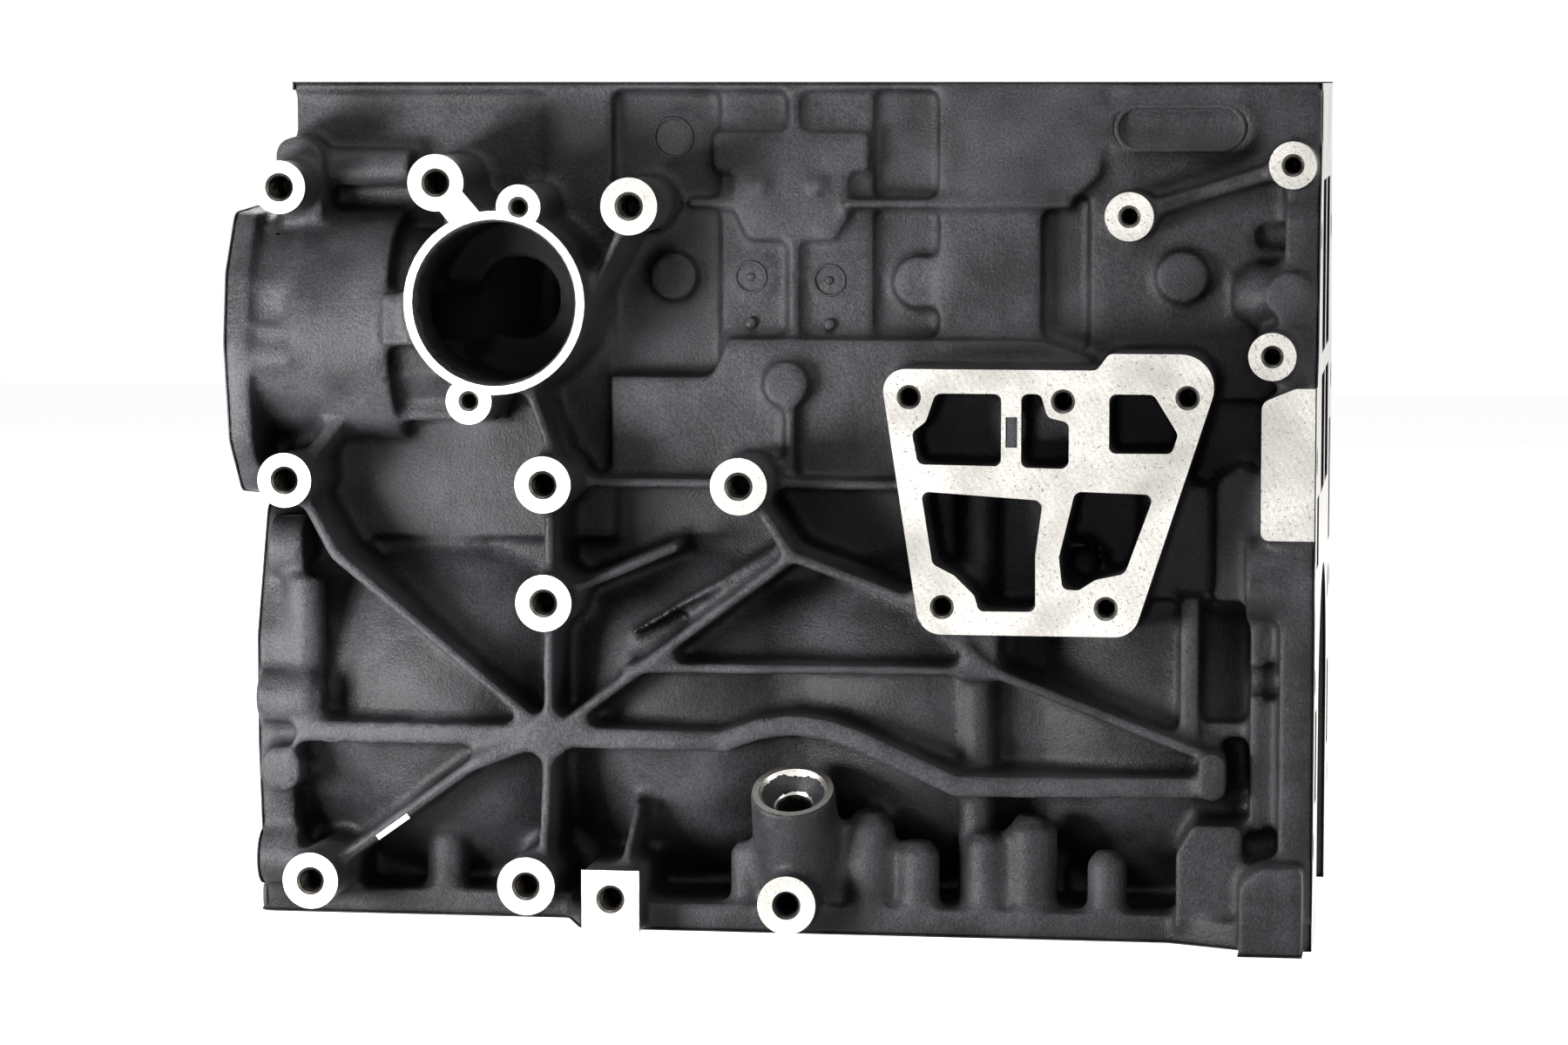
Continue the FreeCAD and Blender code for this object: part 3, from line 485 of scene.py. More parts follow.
    def hatch(self, material: bpy.types.Material, place: bpy.types.NodeSocket) -> bpy.types.NodeSocket:
        """Two sets of fine helical grooves that cross on the wall of each cylinder.

        Args:
            material: the material that they go into.
            place: point in object space.

        Returns:
            The height, 0 to 1: the higher of two sines, of the place along the bore plus and minus the
            place round it.
        """
        mounts = {mount["name"]: mount for mount in frame["record"]["mounts"]}
        first = mounts["cylinder_1"]["pos_m"][0]
        pitch = mounts["cylinder_2"]["pos_m"][0] - first
        rise = mounts["cylinder_1"]["dims"]["r_mm"] * MM * self.hatch_slope
        waves = 2.0 * math.pi / (self.hatch_mm * MM)
        split = add_node(material, "ShaderNodeSeparateXYZ", Vector=place)
        values = dict(zip(("x", "y", "z"), split.outputs))
        steps = (
            ("from_first", "SUBTRACT", "x", first - pitch / 2.0),
            ("in_bore", "FLOORED_MODULO", "from_first", pitch),
            ("aside", "SUBTRACT", "in_bore", pitch / 2.0),
            ("angle", "ARCTAN2", "y", "aside"),
            ("climb", "MULTIPLY", "angle", rise),
            ("right", "ADD", "z", "climb"),
            ("left", "SUBTRACT", "z", "climb"),
            ("right_phase", "MULTIPLY", "right", waves),
            ("left_phase", "MULTIPLY", "left", waves),
            ("right_wave", "SINE", "right_phase", 0.0),
            ("left_wave", "SINE", "left_phase", 0.0),
            ("top", "MAXIMUM", "right_wave", "left_wave"),
            ("half", "MULTIPLY", "top", 0.5),
            ("height", "ADD", "half", 0.5),
        )
        for name, operation, one, two in steps:
            values[name] = add_node(material, "ShaderNodeMath", {"operation": operation},
                                    i0=values.get(one, one), i1=values.get(two, two)).outputs[0]
        return values["height"]

    def relief(self, material: bpy.types.Material, place: bpy.types.NodeSocket,
               height: bpy.types.NodeSocket) -> bpy.types.NodeSocket:
        """The fine bumps, on top of the wave if the finish has one.

        Args:
            material: the material they go into.
            place: point in object space.
            height: the fine height, 0 to 1.

        Returns:
            The bent normal.
        """
        bump = add_node(material, "ShaderNodeBump", Height=height, Strength=1.0,
                        Distance=self.grain_depth_mm * MM)
        if self.wave_mm > 0.0:
            wave = add_node(material, "ShaderNodeTexNoise", Vector=place, Scale=1.0 / (self.wave_mm * MM),
                            Detail=2.0)
            slow = add_node(material, "ShaderNodeBump", Height=wave.outputs["Fac"],
                            Distance=self.wave_depth_mm * MM)
            material.node_tree.links.new(slow.outputs["Normal"], bump.inputs["Normal"])
        return bump.outputs["Normal"]


# Sand-cast grey iron, dipped in black primer: a fine even grain that scatters light into a soft satin sheen.
# Its deep corners are darkened by painted shade from an ambient occlusion node in the colour.
PAINTED_IRON = Finish("black_painted_sand_cast_iron", "#242426", "#48484b", 0.0, (0.36, 0.52), 0.9, 0.34,
                      wave_mm=9.0, wave_depth_mm=0.45, gloss=0.18, corner_shade=0.65)
# Painted shade for the walls that cores made: matt, nearly black grey iron in the pocket, hollows and
# windows.
SHADE_BLACK_IRON = Finish("painted_shade_black_iron", "#0b0b0c", "#1a1a1b", 0.0, (0.60, 0.80), 1.0, 0.22,
                   wave_mm=10.0, wave_depth_mm=0.4, gloss=0.2)
# Face-milled grey iron: bright and nearly even, with fine pores of graphite and the wide arcs of the cutter.
MILLED_IRON = Finish("milled_grey_iron", "#bcb9b3", "#e6e3dd", 1.0, (0.30, 0.48), 0.6, 0.006,
                     wave_mm=14.0, wave_depth_mm=0.03, speck=0.02, feed_mm=2.2)
# Bored grey iron: smooth, a little darker than a milled face, with a faint unevenness.
BORED_IRON = Finish("bored_grey_iron", "#9d9a95", "#cbc8c2", 1.0, (0.22, 0.38), 0.6, 0.01,
                    wave_mm=16.0, wave_depth_mm=0.02)
# Plateau-honed cylinder bore: bright grey with a cross-hatch, drawn coarser than a real one so it shows.
HONED_IRON = Finish("honed_grey_iron", "#a3a19d", "#cfcdc9", 1.0, (0.25, 0.40), 0.5, 0.004, hatch_mm=1.6)
# Cut threads and drilled holes in grey iron: dull and dark, as little light reaches them.
CUT_IRON = Finish("tapped_grey_iron", "#3c3a37", "#75726d", 1.0, (0.30, 0.50), 0.5, 0.01)
# Phosphated high-tensile bolt steel: charcoal, slightly oily.
BOLT_STEEL = Finish("phosphated_bolt_steel", "#232324", "#3b3b3d", 0.7, (0.38, 0.52), 0.4, 0.008)
# Zinc-plated deep-drawn steel of the core plugs: pale, smooth and even.
PLATED_STEEL = Finish("zinc_plated_steel", "#a9aaa8", "#d4d5d3", 1.0, (0.24, 0.36), 0.5, 0.006,
                      wave_mm=12.0, wave_depth_mm=0.03)
# Machined grey iron of the bearing caps: a mid grey, duller than the milled faces.
CAP_IRON = Finish("machined_cap_iron", "#77746f", "#a8a5a0", 0.9, (0.35, 0.52), 0.9, 0.05,
                  wave_mm=12.0, wave_depth_mm=0.05)


# ---- casting -------------------------------------------------------------------------------------
@dataclass(frozen=True)
class Fit:
    """How near to a form a triangle has to lie to belong to it.

    Args:
        slack: how far off the form its middle may be, mm.
        level: least cosine between its normal and that of the form.
    """

    slack: float
    level: float


# A faced plane and a bored wall, each in the casting as modelled and then in the rounded skin.
FACED, FACED_SKIN = Fit(0.02, 0.998), Fit(0.5, 0.95)
BORED, BORED_SKIN = Fit(0.3, 0.97), Fit(0.6, 0.9)


@dataclass(frozen=True)
class MilledPlane:
    """A plane that a cutter has faced.

    Args:
        name: name of the piece that shows it.
        axis: the direction that it faces.
        sign: 1 or -1 along that direction.
        place_mm: where it cuts the axis.
        bosses_only: true where ribs end at the same height as cast.
    """

    name: str
    axis: Axis
    sign: int
    place_mm: float
    bosses_only: bool = False

    def holds(self, surface: Surface, fit: Fit) -> np.ndarray:
        """Finds what lies in the plane.

        Args:
            surface: the casting, or its rounded skin.
            fit: how near counts.

        Returns:
            A mask of the triangles in the plane that face its way.
        """
        lies = np.abs(surface.centres()[:, self.axis.value] - self.place_mm) < fit.slack
        return lies & (surface.normals()[:, self.axis.value] * self.sign > fit.level)

    def face(self, surface: Surface, round_mm: float = 0.5) -> Surface:
        """The faced stretch of the casting.

        Args:
            surface: the casting.
            round_mm: how far height and width of a round boss may differ.

        Returns:
            What lies in the plane; where only bosses are faced, just its patches that are as wide as high.
        """
        flat = surface.part(self.holds(surface, FACED))
        if not self.bosses_only:
            return flat
        keep = np.zeros(len(flat.triangles), bool)
        for mine, low, high in flat.patch_boxes():
            size = np.sort(high - low)
            keep |= mine & (size[2] - size[1] < round_mm)
        return flat.part(keep)


@dataclass
class CastSkin:
    """The painted outside of the casting, with the round corners that the sand mould gives it.

    Args:
        voxel: spacing of the distance field, mm.
        fillet: radius in inside corners, mm.
        edge: radius on outside edges, mm.
        inset: how far the skin lies inside the milled outline, mm.
        flatness: how freely flat stretches share one face, 0 to 1.
    """

    voxel: float = 1.0
    fillet: float = 2.6
    edge: float = 0.9
    inset: float = 0.15
    flatness: float = 0.05

    def field(self, points: np.ndarray, **faces: np.ndarray) -> openvdb.FloatGrid:
        """The signed distance to a closed surface, kept near it.

        Args:
            points: its corner points, mm.
            **faces: its triangles or quads.

        Returns:
            The distance on a grid, in a band that is wide enough for each move.
        """
        spacing = openvdb.createLinearTransform(voxelSize=self.voxel)
        band = (self.fillet + self.edge) / self.voxel + 2.0
        return openvdb.FloatGrid.createLevelSetFromPolygons(points, transform=spacing, halfWidth=band,
                                                            **faces)

    def round_off(self, solid: Surface) -> Surface:
        """Rounds a closed surface.

        The surface is moved out by the fillet radius, back in by that and the edge radius, and out again by
        the edge radius less the inset: each move is a level of the distance to the last surface, so inside
        corners get the one radius and outside edges the other.

        Args:
            solid: the closed surface.

        Returns:
            The rounded one.
        """
        near = self.field(solid.points.astype(np.float32), triangles=solid.triangles.astype(np.uint32))
        points, quads = near.convertToQuads(self.fillet)
        points, quads = self.field(points, quads=quads).convertToQuads(-self.fillet - self.edge)
        last = self.field(points, quads=quads)
        points, triangles, quads = last.convertToPolygons(self.edge - self.inset, self.flatness)
        halves = [quads[:, [0, 1, 2]], quads[:, [0, 2, 3]], triangles.reshape(-1, 3)]
        rounded = Surface(points.astype(np.float64), np.concatenate(halves).astype(np.int64))
        corner = rounded.corners()
        volume = np.einsum("ij,ij->i", corner[:, 0], np.cross(corner[:, 1], corner[:, 2])).sum()
        if volume < 0.0:
            rounded.triangles = rounded.triangles[:, ::-1]
        return rounded


@dataclass
class Thread:
    """The thread in the tapped holes.

    Args:
        pitch: from one turn to the next, mm.
        turns: how many turns are cut where the hole is deep enough.
        ridge: height of the ridge, mm.
        full_radius: radius from which the ridge has its full height, mm.
        sunk: how far its foot lies in the wall, mm.
        chamfer: depth of the mouth, and how much its radius is wider than the wall's, mm.
        plain: length without thread at the bottom, mm.
        least_radius: a narrower hole stays plain, mm.
        least_depth: so does a shallower one, mm.
        round_mm: how far the two widths of a round hole may differ.
        rim_mm: depth down to which the points of a wall make its rim.
        rows_a_turn: steps down the hole in one turn.
        columns: steps round it.
    """

    pitch: float = 1.5
    turns: float = 9.0
    ridge: float = 0.5
    full_radius: float = 4.0
    sunk: float = 0.02
    chamfer: float = 1.1
    plain: float = 1.5
    least_radius: float = 2.0
    least_depth: float = 4.0
    round_mm: float = 0.1
    rim_mm: float = 0.01
    rows_a_turn: int = 5
    columns: int = 36

    def cut(self, low: np.ndarray, high: np.ndarray, along: int, sign: float) -> Surface:
        """The thread of one hole: a tube whose radius falls and rises with the angle and the depth.

        Args:
            low: lowest corner of the wall's box, mm.
            high: its highest corner, mm.
            along: place of the hole's direction in a point.
            sign: 1 for a mouth at the high end, -1 for one at the low end.

        Returns:
            The tube, from the chamfer down.
        """
        size, middle = high - low, (low + high) / 2.0
        one, two = (along + 1) % 3, (along + 2) % 3
        radius = size[one] / 2.0 - self.chamfer
        depth = min(self.turns * self.pitch, size[along] - self.chamfer - self.plain)
        rows = max(int(depth / self.pitch * self.rows_a_turn), 2)
        down, turn = np.meshgrid(np.linspace(0.0, depth, rows), turn_angles(self.columns), indexing="ij")
        phase = (down / self.pitch - turn / (2.0 * math.pi)) % 1.0
        height = self.ridge * (1.0 - np.abs(2.0 * phase - 1.0)) * np.clip(down / self.pitch, 0.0, 1.0)
        reach = radius + self.sunk - height * min(1.0, radius / self.full_radius)
        points = np.empty((rows, self.columns, 3))
        points[:, :, along] = (high if sign > 0.0 else low)[along] - sign * (self.chamfer + down)
        points[:, :, one] = middle[one] + reach * np.cos(turn)
        points[:, :, two] = middle[two] + reach * np.sin(turn)
        triangles = grid_triangles(rows, self.columns, True)
        return Surface(points.reshape(-1, 3), triangles if sign > 0.0 else triangles[:, ::-1])

    def cut_all(self, holes: Surface) -> Surface:
        """The threads of all round holes that open straight to a side.

        A hole runs along the direction whose two others are the most alike, and its mouth is at the end
        whose rim is as wide as its box.

        Args:
            holes: the walls of all holes.

        Returns:
            The threads as one surface.
        """
        corner, threads = holes.corners(), []
        for mine, low, high in holes.patch_boxes():
            size = high - low
            along = int(np.argmin(np.abs(np.roll(size, -1) - np.roll(size, -2))))
            across, other = size[(along + 1) % 3], size[(along + 2) % 3]
            narrow = across / 2.0 - self.chamfer < self.least_radius
            if narrow or abs(other - across) > self.round_mm or size[along] < self.least_depth:
                continue
            wall = corner[mine]
            rim = np.ptp(wall[wall[:, :, along] > high[along] - self.rim_mm], axis=0)
            sign = 1.0 if rim[(along + 1) % 3] > across - self.round_mm else -1.0
            threads.append(self.cut(low, high, along, sign))
        return joined(threads)


@dataclass
class Casting:
    """The block casting: painted skin, milled faces, bores, tapped holes, and painted shade on the walls of
    its hollows.

    Args:
        solid: the casting as modelled.
        plate_mm: depth of the milled skin that shows its edges crisp.
        plate_slack: how far a stretch of skin may reach past the box of the milled face over it, mm.
        side_y: distance from the crank's plane where the two sides of the skin start, mm.
        nose_step: from the timing face back to the front face, mm.
        boss_step: from the accessory face back to the faces of the upper bosses, mm.
        exhaust_boss_y: face of the bosses on the exhaust side, mm.
        drain_y: face of the drain boss, mm.
        hole_mm: a patch of wall that is narrower than this in two directions is a small hole.
        hole_slack: how far round a small hole its skin is taken off, mm.
        pocket_slack: how far outside the thermostat bore its shaded wall may lie, mm.
        pocket_rim: depth from which the thermostat pocket gets the painted shade, mm.
        inside: half length, half width and top of the hollow inside, mm.
        windows_x: from where to where the filter windows reach along the block, mm.
        windows_z: the same for their height, mm.
        windows_y: each of them comes out past this, mm.
        web: two corners of the web that closes the slit between pump housing and timing end, mm.
        seat_middle: middle of the dipstick seat's rim, mm.
        seat_axis: its direction.
        seat_profile: radius and height of its rim, chamfer, cone and bore, mm.
    """

    solid: Surface
    plate_mm: float = 0.45
    plate_slack: float = 0.6
    side_y: float = 40.0
    nose_step: float = 11.5
    boss_step: float = 12.0
    exhaust_boss_y: float = 98.0
    drain_y: float = 96.0
    hole_mm: float = 16.0
    hole_slack: float = 0.3
    pocket_slack: float = 0.6
    pocket_rim: float = 1.0
    inside: Point = (180.0, 55.0, 230.0)
    windows_x: tuple[float, float] = (40.0, 150.0)
    windows_z: tuple[float, float] = (40.0, 130.0)
    windows_y: float = -111.0
    web: tuple[Point, Point] = ((-199.0, -71.0, 95.0), (-184.0, -50.0, 112.0))
    seat_middle: Point = (4.4, -106.0, -21.8)
    seat_axis: Point = (0.0, -0.5, 0.866)
    seat_profile: tuple[tuple[float, float], ...] = (
        (14.9, 0.0), (12.6, 0.0), (12.2, -0.4), (6.9, -6.9), (6.6, -7.3), (6.6, -22.0))

    def planes(self) -> list[MilledPlane]:
        """The faced planes, from the block's box and its interfaces."""
        low, high = (np.array(corner) / MM for corner in CAD_BOX)
        place = {mount["name"]: np.array(mount["pos_m"]) / MM for mount in frame["record"]["mounts"]}
        accessory = place["accessory_face"][1]
        timing = place["timing_face"][0]
        return [
            MilledPlane("head_face", Axis.Z, 1, high[2]),
            MilledPlane("pan_face", Axis.Z, -1, low[2]),
            MilledPlane("gearbox_face", Axis.X, 1, high[0]),
            MilledPlane("pump_face", Axis.X, -1, low[0]),
            MilledPlane("timing_face", Axis.X, -1, timing),
            MilledPlane("front_face", Axis.X, -1, timing + self.nose_step),
            MilledPlane("bracket_faces", Axis.Y, -1, accessory),
            MilledPlane("filter_face", Axis.Y, -1, place["filter_face"][1]),
            MilledPlane("upper_boss_faces", Axis.Y, -1, accessory + self.boss_step, bosses_only=True),
            MilledPlane("exhaust_boss_faces", Axis.Y, 1, self.exhaust_boss_y),
            MilledPlane("drain_face", Axis.Y, 1, self.drain_y),
        ]

    def under_plates(self, skin: Surface) -> np.ndarray:
        """Finds what a milled face covers.

        Args:
            skin: the rounded skin.

        Returns:
            A mask of its flat patches that lie within the box of a patch of a milled face.
        """
        mask = np.zeros(len(skin.triangles), bool)
        for plane in self.planes():
            faces = [(low - self.plate_slack, high + self.plate_slack)
                     for _, low, high in plane.face(self.solid).patch_boxes()]
            near = np.flatnonzero(plane.holds(skin, FACED_SKIN))
            for mine, low, high in Surface(skin.points, skin.triangles[near]).patch_boxes():
                if any((low > start).all() and (high < end).all() for start, end in faces):
                    mask[near[mine]] = True
        return mask

    def holes(self) -> Surface:
        """The walls of the small holes: the narrow patches that are left without the faced planes."""
        faced = np.any([plane.holds(self.solid, FACED) for plane in self.planes()], axis=0)
        rest = self.solid.part(~faced)
        keep = np.zeros(len(rest.triangles), bool)
        for mine, low, high in rest.patch_boxes():
            keep |= mine & (np.sort(high - low)[1] < self.hole_mm)
        return rest.part(keep)

    def in_holes(self, skin: Surface, holes: Surface) -> np.ndarray:
        """Finds where a hole's own wall shows in place of the skin.

        Args:
            skin: the rounded skin.
            holes: the walls of all small holes.

        Returns:
            A mask of the skin's triangles in the box of a hole.
        """
        centre = skin.centres()
        mask = np.zeros(len(skin.triangles), bool)
        for _, low, high in holes.patch_boxes():
            mask |= ((centre > low - self.hole_slack) & (centre < high + self.hole_slack)).all(axis=1)
        return mask

    def bores(self, surface: Surface, fit: Fit) -> np.ndarray:
        """Sorts out the bored walls by the bore mounts.

        Args:
            surface: the casting, or its rounded skin.
            fit: how near to a bore's radius counts, and how straight to its axis.

        Returns:
            For each triangle 1 on the crank and pump bores, 2 on the cylinders, 0 elsewhere.
        """
        centre, normal = surface.centres(), surface.normals()
        index = np.zeros(len(surface.triangles), int)
        for mount in frame["record"]["mounts"]:
            if mount["kind"] != "bore" or mount["name"].startswith("thermostat"):
                continue
            axis = np.array(mount["axis"])
            away = centre - np.array(mount["pos_m"]) / MM
            away -= np.outer(away @ axis, axis)
            distance = np.linalg.norm(away, axis=1)
            inward = -np.einsum("ij,ij->i", normal, away) / np.maximum(distance, 1e-9)
            wall = (np.abs(distance - mount["dims"]["r_mm"]) < fit.slack) & (inward > fit.level)
            index[wall] = 2 if mount["name"].startswith("cylinder") else 1
        return index

    def shaded_hollows(self, skin: Surface, keep: np.ndarray) -> np.ndarray:
        """Finds the walls of the hollows that sand cores have made, which get the painted shade.

        The round stretch of the thermostat pocket has no far end, so it also takes in the outside of the
        exhaust side behind it.

        Args:
            skin: the rounded skin.
            keep: a mask of its triangles that show.

        Returns:
            A mask of the thermostat pocket, the hollow inside and, by their patches, the filter windows.
        """
        x, y, z = skin.centres().T
        pocket = next(mount for mount in frame["record"]["mounts"] if mount["name"] == "thermostat_bore")
        middle = np.array(pocket["pos_m"]) / MM
        reach = pocket["dims"]["r_mm"] + self.pocket_slack
        mask = (np.hypot(x - middle[0], z - middle[2]) < reach) & (y > middle[1] + self.pocket_rim)
        length, width, top = self.inside
        mask |= (np.abs(x) < length) & (np.abs(y) < width) & (z < top)
        shown = np.flatnonzero(keep)
        for mine, low, high in Surface(skin.points, skin.triangles[shown]).patch_boxes():
            in_x = low[0] > self.windows_x[0] and high[0] < self.windows_x[1]
            in_z = low[2] > self.windows_z[0] and high[2] < self.windows_z[1]
            if in_x and in_z and low[1] < self.windows_y:
                mask[shown[mine]] = True
        return mask

    def build_skin(self, holes: Surface, paint: bpy.types.Material, shade_black: bpy.types.Material) -> None:
        """Makes the skin in five pieces, which stand for the plain casting.

        Args:
            holes: the walls of all small holes.
            paint: the outside's finish.
            shade_black: the nearly black finish that paints shade on the walls of the hollows.
        """
        web = box_surface(*np.array(self.web))
        skin = CastSkin().round_off(joined([self.solid, web]))
        keep = ~(self.under_plates(skin) | self.in_holes(skin, holes) | (self.bores(skin, BORED_SKIN) > 0))
        # Painted shade: the walls of the pocket, the hollow inside and the filter windows take the nearly
        # black finish.
        shaded_hollows = self.shaded_hollows(skin, keep).astype(int)
        x, y, _ = skin.centres().T
        left, accessory, exhaust = x < 0.0, y < -self.side_y, y >= self.side_y
        sides = {"skin_accessory_left": accessory & left, "skin_accessory_right": accessory & ~left,
                 "skin_core": ~accessory & ~exhaust,
                 "skin_exhaust_left": exhaust & left, "skin_exhaust_right": exhaust & ~left}
        for name, side in sides.items():
            shown = keep & side
            piece = new_piece(name, skin.part(shown), [paint, shade_black], shaded_hollows[shown], angle=CAST_ANGLE)
            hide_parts("block_casting")

    def build(self) -> None:
        """Makes the pieces and hides the plain casting."""
        paint, shade_black = PAINTED_IRON.make(), SHADE_BLACK_IRON.make()
        milled, cut = MILLED_IRON.make(), CUT_IRON.make()
        bored, honed = BORED_IRON.make(), HONED_IRON.make()
        holes = self.holes()
        self.build_skin(holes, paint, shade_black)
        for plane in self.planes():
            piece = new_piece(plane.name, plane.face(self.solid), [milled, paint], angle=None)
            depth = piece.modifiers.new("depth", "SOLIDIFY")
            depth.thickness = self.plate_mm * MM
            depth.offset = -1.0
            depth.material_offset_rim = 1
            depth.material_offset = 1
        index = self.bores(self.solid, BORED)
        bore = index > 0
        new_piece("bore_walls", self.solid.part(bore), [bored, honed], index[bore] - 1)
        new_piece("tapped_holes", holes, [cut])
        new_piece("thread_ridges", Thread().cut_all(holes), [cut])
        seat = revolved(np.array(self.seat_profile), np.array(self.seat_middle), np.array(self.seat_axis))
        new_piece("dipstick_seat", seat, [milled], angle=SEAT_ANGLE)


@dataclass
class CastDetails:
    """Small raised forms on the accessory side: bare frames, dials and studs, and a ground spot.

    Args:
        oval: middle x, z and face y of the oval frame, mm.
        oval_half: half its straight length and its end radius.
        rings: x, z, face y and radius of each ring.
        studs: x, z, face y and radius of each low dome.
        bead: radius of the oval frame's bead.
        ring_bead: radius of a ring's bead.
        bead_sunk: angle by which each foot of a bead runs on into the skin.
        stud_height: height of a dome, as a share of its radius.
        stud_sunk: angle by which its foot runs on into the skin.
        spot: x and z of the two ends of the ground spot, mm.
        spot_y: its face and its back, mm.
        spot_half: half its width, mm.
    """

    oval: Point = (142.0, 219.2, -72.0)
    oval_half: tuple[float, float] = (15.2, 7.9)
    rings: tuple[tuple[float, float, float, float], ...] = (
        (-45.9, 215.4, -65.0, 7.2), (-16.3, 164.1, -69.0, 5.6), (13.0, 163.0, -69.0, 5.6))
    studs: tuple[tuple[float, float, float, float], ...] = (
        (-16.3, 164.1, -69.0, 1.6), (13.0, 163.0, -69.0, 1.6),
        (-16.3, 147.0, -69.0, 2.2), (13.0, 146.6, -69.0, 2.2))
    bead: float = 1.15
    ring_bead: float = 0.55
    bead_sunk: float = 0.15
    stud_height: float = 0.6
    stud_sunk: float = 0.1
    spot: tuple[tuple[float, float], tuple[float, float]] = ((-151.2, -43.0), (-139.4, -34.6))
    spot_y: tuple[float, float] = (-103.97, -103.4)
    spot_half: float = 1.0

    def frame_bead(self, x: float, z: float, y: float, straight: float, radius: float,
                   bead: float) -> Surface:
        """A half-round bead along an oval, or along a ring if the straight length is 0.

        Args:
            x: middle of the oval along the block, mm.
            z: its height, mm.
            y: the face that it stands on, mm.
            straight: half its straight length, mm.
            radius: of its ends, mm.
            bead: radius of the bead, mm.

        Returns:
            A half circle carried along the oval.
        """
        turn = turn_angles(96)
        arc = np.linspace(-self.bead_sunk, math.pi + self.bead_sunk, 13)
        reach = radius + np.cos(arc)[:, None] * bead
        points = np.empty((len(arc), len(turn), 3))
        points[:, :, 0] = x + np.sign(np.cos(turn)) * straight + reach * np.cos(turn)
        points[:, :, 1] = y - np.sin(arc)[:, None] * bead
        points[:, :, 2] = z + reach * np.sin(turn)
        return facing_out(Surface(points.reshape(-1, 3), grid_triangles(len(arc), len(turn), True)))

    def stud(self, x: float, z: float, y: float, radius: float) -> Surface:
        """A low dome.

        Args:
            x: its middle along the block, mm.
            z: its height, mm.
            y: the face that it stands on, mm.
            radius: of its foot, mm.

        Returns:
            A quarter of a flattened circle turned about its axis, closed at the pole.
        """
        angle = np.linspace(-self.stud_sunk, math.pi / 2.0, 9)
        profile = radius * np.stack([np.cos(angle), self.stud_height * np.sin(angle)], axis=1)
        profile[-1, 0] = 0.0
        return facing_out(welded(revolved(profile, np.array([x, y, z]), np.array([0.0, -1.0, 0.0]), 40)))

    def ground_spot(self) -> Surface:
        """The strip that a grinder has bared on the rib to the lowest boss at the timing end."""
        start, end = np.array(self.spot)
        length = np.linalg.norm(end - start)
        along = (end - start) / length
        aside = np.array([-along[1], along[0]])
        strip = box_surface(np.array([0.0, self.spot_y[0], -self.spot_half]),
                            np.array([length, self.spot_y[1], self.spot_half]))
        flat = start + strip.points[:, :1] * along + strip.points[:, 2:] * aside
        strip.points = np.stack([flat[:, 0], strip.points[:, 1], flat[:, 1]], axis=1)
        return strip

    def build(self) -> None:
        """Makes the pieces."""
        paint, milled = (bpy.data.materials[finish.name] for finish in (PAINTED_IRON, MILLED_IRON))
        beads = [self.frame_bead(*self.oval, *self.oval_half, self.bead)]
        beads += [self.frame_bead(x, z, y, 0.0, radius, self.ring_bead) for x, z, y, radius in self.rings]
        beads += [self.stud(*stud) for stud in self.studs]
        new_piece("cast_frames", joined(beads), [paint], angle=CAST_ANGLE)
        new_piece("ground_spot", self.ground_spot(), [milled], angle=None)


# ---- the other pieces ----------------------------------------------------------------------------
def dress_nodes() -> None:
    """Gives the caps, bolts and plugs their finishes."""
    finishes = {"main_cap_bolts": BOLT_STEEL.make(), "core_plugs": PLATED_STEEL.make(),
                "gallery_plugs": BOLT_STEEL.make()}
    cap = CAP_IRON.make()
    for name, node in frame["nodes"].items():
        if name == "block_casting":
            continue
        node.data.materials.clear()
        node.data.materials.append(finishes.get(name, cap))
        LOG.info("%s dressed", name)


# ---- studio --------------------------------------------------------------------------------------
@dataclass(frozen=True)
class SoftBox:
    """A soft lamp that faces the block.

    Args:
        name: its name.
        place: its middle, metres.
        size: its two sides, metres.
        watts: its power.
    """

    name: str
    place: Point
    size: tuple[float, float]
    watts: float


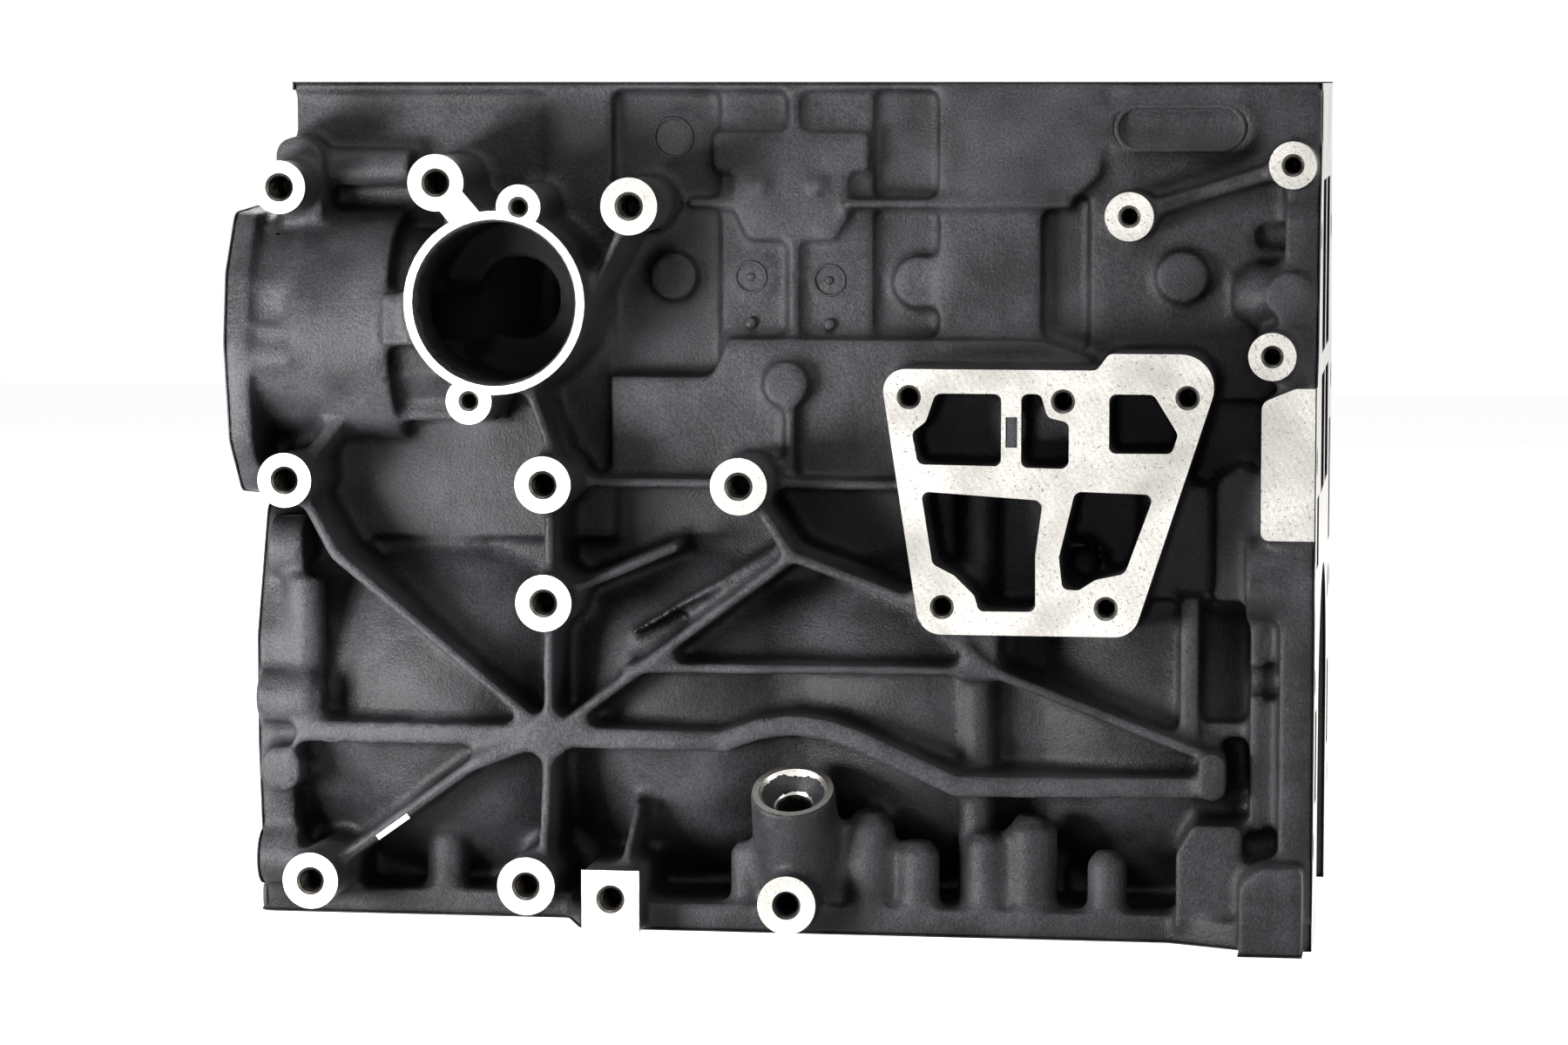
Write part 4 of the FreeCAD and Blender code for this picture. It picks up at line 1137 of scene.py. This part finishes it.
@dataclass
class Studio:
    """White floor and backdrop, soft lights and the camera.

    Args:
        lens_mm: focal length on a frame 36 mm wide.
        yaw: degrees by which the camera stands to the right of the accessory side's normal.
        pitch: degrees by which it looks down.
        distance: from the aim point, metres.
        aim: the point that it looks at, metres.
        floor_half: half the floor's side, metres.
        floor_gap: from the pan face down to the floor, metres.
        floor_glow: what the floor adds to its own light for the camera, so that it runs into the backdrop.
        world_light: strength of the white surround as a light; it is 1 for the camera.
        lamps: the soft lamps.
    """

    lens_mm: float = 110.0
    yaw: float = 7.9
    pitch: float = 5.25
    distance: float = 1.768
    aim: Point = (-0.0024, -0.080, 0.074)
    floor_half: float = 3.0
    floor_gap: float = 0.0002
    floor_glow: float = 0.9
    world_light: float = 0.07
    lamps: tuple[SoftBox, ...] = (
        SoftBox("key_left", (-0.43, -0.51, -0.05), (0.22, 0.22), 13.0),
        SoftBox("top", (-0.1, -0.6, 1.6), (1.1, 0.5), 8.0),
        SoftBox("front_top", (0.4, -1.7, 1.1), (1.0, 0.6), 3.0),
        SoftBox("right_strip", (1.6, -0.8, 0.4), (0.3, 1.2), 8.0),
        SoftBox("back_top", (0.0, 1.4, 1.2), (1.4, 0.7), 34.0),
    )

    def white_to_camera(self, owner: bpy.types.Material | bpy.types.World) -> bpy.types.NodeSocket:
        """A value that tells what is looked at from what only gives light.

        Args:
            owner: the material or world it goes into.

        Returns:
            1 for what the camera, glass and gloss see, else 0.
        """
        path = add_node(owner, "ShaderNodeLightPath")
        seen = path.outputs["Is Camera Ray"]
        for name in ("Is Glossy Ray", "Is Transmission Ray"):
            seen = add_node(owner, "ShaderNodeMath", {"operation": "ADD", "use_clamp": True}, i0=seen,
                            i1=path.outputs[name]).outputs[0]
        return seen

    def floor(self) -> None:
        """A wide pale floor under the pan face."""
        half, z = self.floor_half, CAD_BOX[0][2] - self.floor_gap
        corners = [(-half, -half, z), (half, -half, z), (half, half, z), (-half, half, z)]
        mesh = bpy.data.meshes.new("floor")
        mesh.from_pydata(corners, [], [(0, 1, 2, 3)])
        # White card: flat, without sheen, and as bright as the backdrop to the camera.
        material = bpy.data.materials.new("white_paper_floor")
        material.use_nodes = True
        material.node_tree.nodes.clear()
        seen = self.white_to_camera(material)
        paper = add_node(material, "ShaderNodeBsdfDiffuse", Color=linear("#e6e6e6"))
        share = add_node(material, "ShaderNodeMath", {"operation": "MULTIPLY"}, i0=seen, i1=self.floor_glow)
        glow = add_node(material, "ShaderNodeEmission", Color=linear("#ffffff"), Strength=share.outputs[0])
        both = add_node(material, "ShaderNodeAddShader", i0=paper.outputs[0], i1=glow.outputs[0])
        add_node(material, "ShaderNodeOutputMaterial", Surface=both.outputs[0])
        mesh.materials.append(material)
        floor = bpy.data.objects.new("floor", mesh)
        bpy.context.scene.collection.objects.link(floor)

    def world(self) -> None:
        """A white surround: full strength to camera and gloss, less as light."""
        world = bpy.data.worlds.new("studio")
        bpy.context.scene.world = world
        world.use_nodes = True
        world.node_tree.nodes.clear()
        strength = add_node(world, "ShaderNodeMapRange", Value=self.white_to_camera(world),
                            To_Min=self.world_light, To_Max=1.0)
        back = add_node(world, "ShaderNodeBackground", Color=linear("#ffffff"), Strength=strength.outputs[0])
        add_node(world, "ShaderNodeOutputWorld", Surface=back.outputs[0])

    def light(self, box: SoftBox) -> None:
        """Puts a lamp in its place, turned to the aim point.

        Args:
            box: the lamp.
        """
        data = bpy.data.lights.new(box.name, "AREA")
        data.shape = "RECTANGLE"
        data.size, data.size_y = box.size
        data.energy = box.watts
        lamp = bpy.data.objects.new(box.name, data)
        lamp.location = box.place
        aim = Vector(self.aim) - Vector(box.place)
        lamp.visible_camera = False
        lamp.rotation_euler = aim.to_track_quat("-Z", "Y").to_euler()
        bpy.context.scene.collection.objects.link(lamp)

    def camera(self) -> None:
        """The camera at its angle and distance."""
        yaw, pitch = math.radians(self.yaw), math.radians(self.pitch)
        ahead = Vector((-math.sin(yaw) * math.cos(pitch), math.cos(yaw) * math.cos(pitch), -math.sin(pitch)))
        right = Vector((math.cos(yaw), math.sin(yaw), 0.0))
        up = right.cross(ahead)
        data = bpy.data.cameras.new("camera")
        data.lens = self.lens_mm
        data.sensor_width = 36.0
        data.clip_end = 50.0
        camera = bpy.data.objects.new("camera", data)
        turn = Matrix((right, up, -ahead)).transposed().to_4x4()
        camera.matrix_world = Matrix.Translation(Vector(self.aim) - self.distance * ahead) @ turn
        bpy.context.scene.collection.objects.link(camera)
        bpy.context.scene.camera = camera

    def build(self) -> None:
        """Sets the stage."""
        bpy.context.scene.view_settings.view_transform = "Standard"
        self.floor()
        self.world()
        for box in self.lamps:
            self.light(box)
        self.camera()


def main() -> None:
    """Builds everything in order."""
    logging.basicConfig(level=logging.INFO, format="%(message)s")
    Casting(merged("block_casting")).build()
    CastDetails().build()
    dress_nodes()
    Studio().build()


if __name__ == "__main__":
    main()
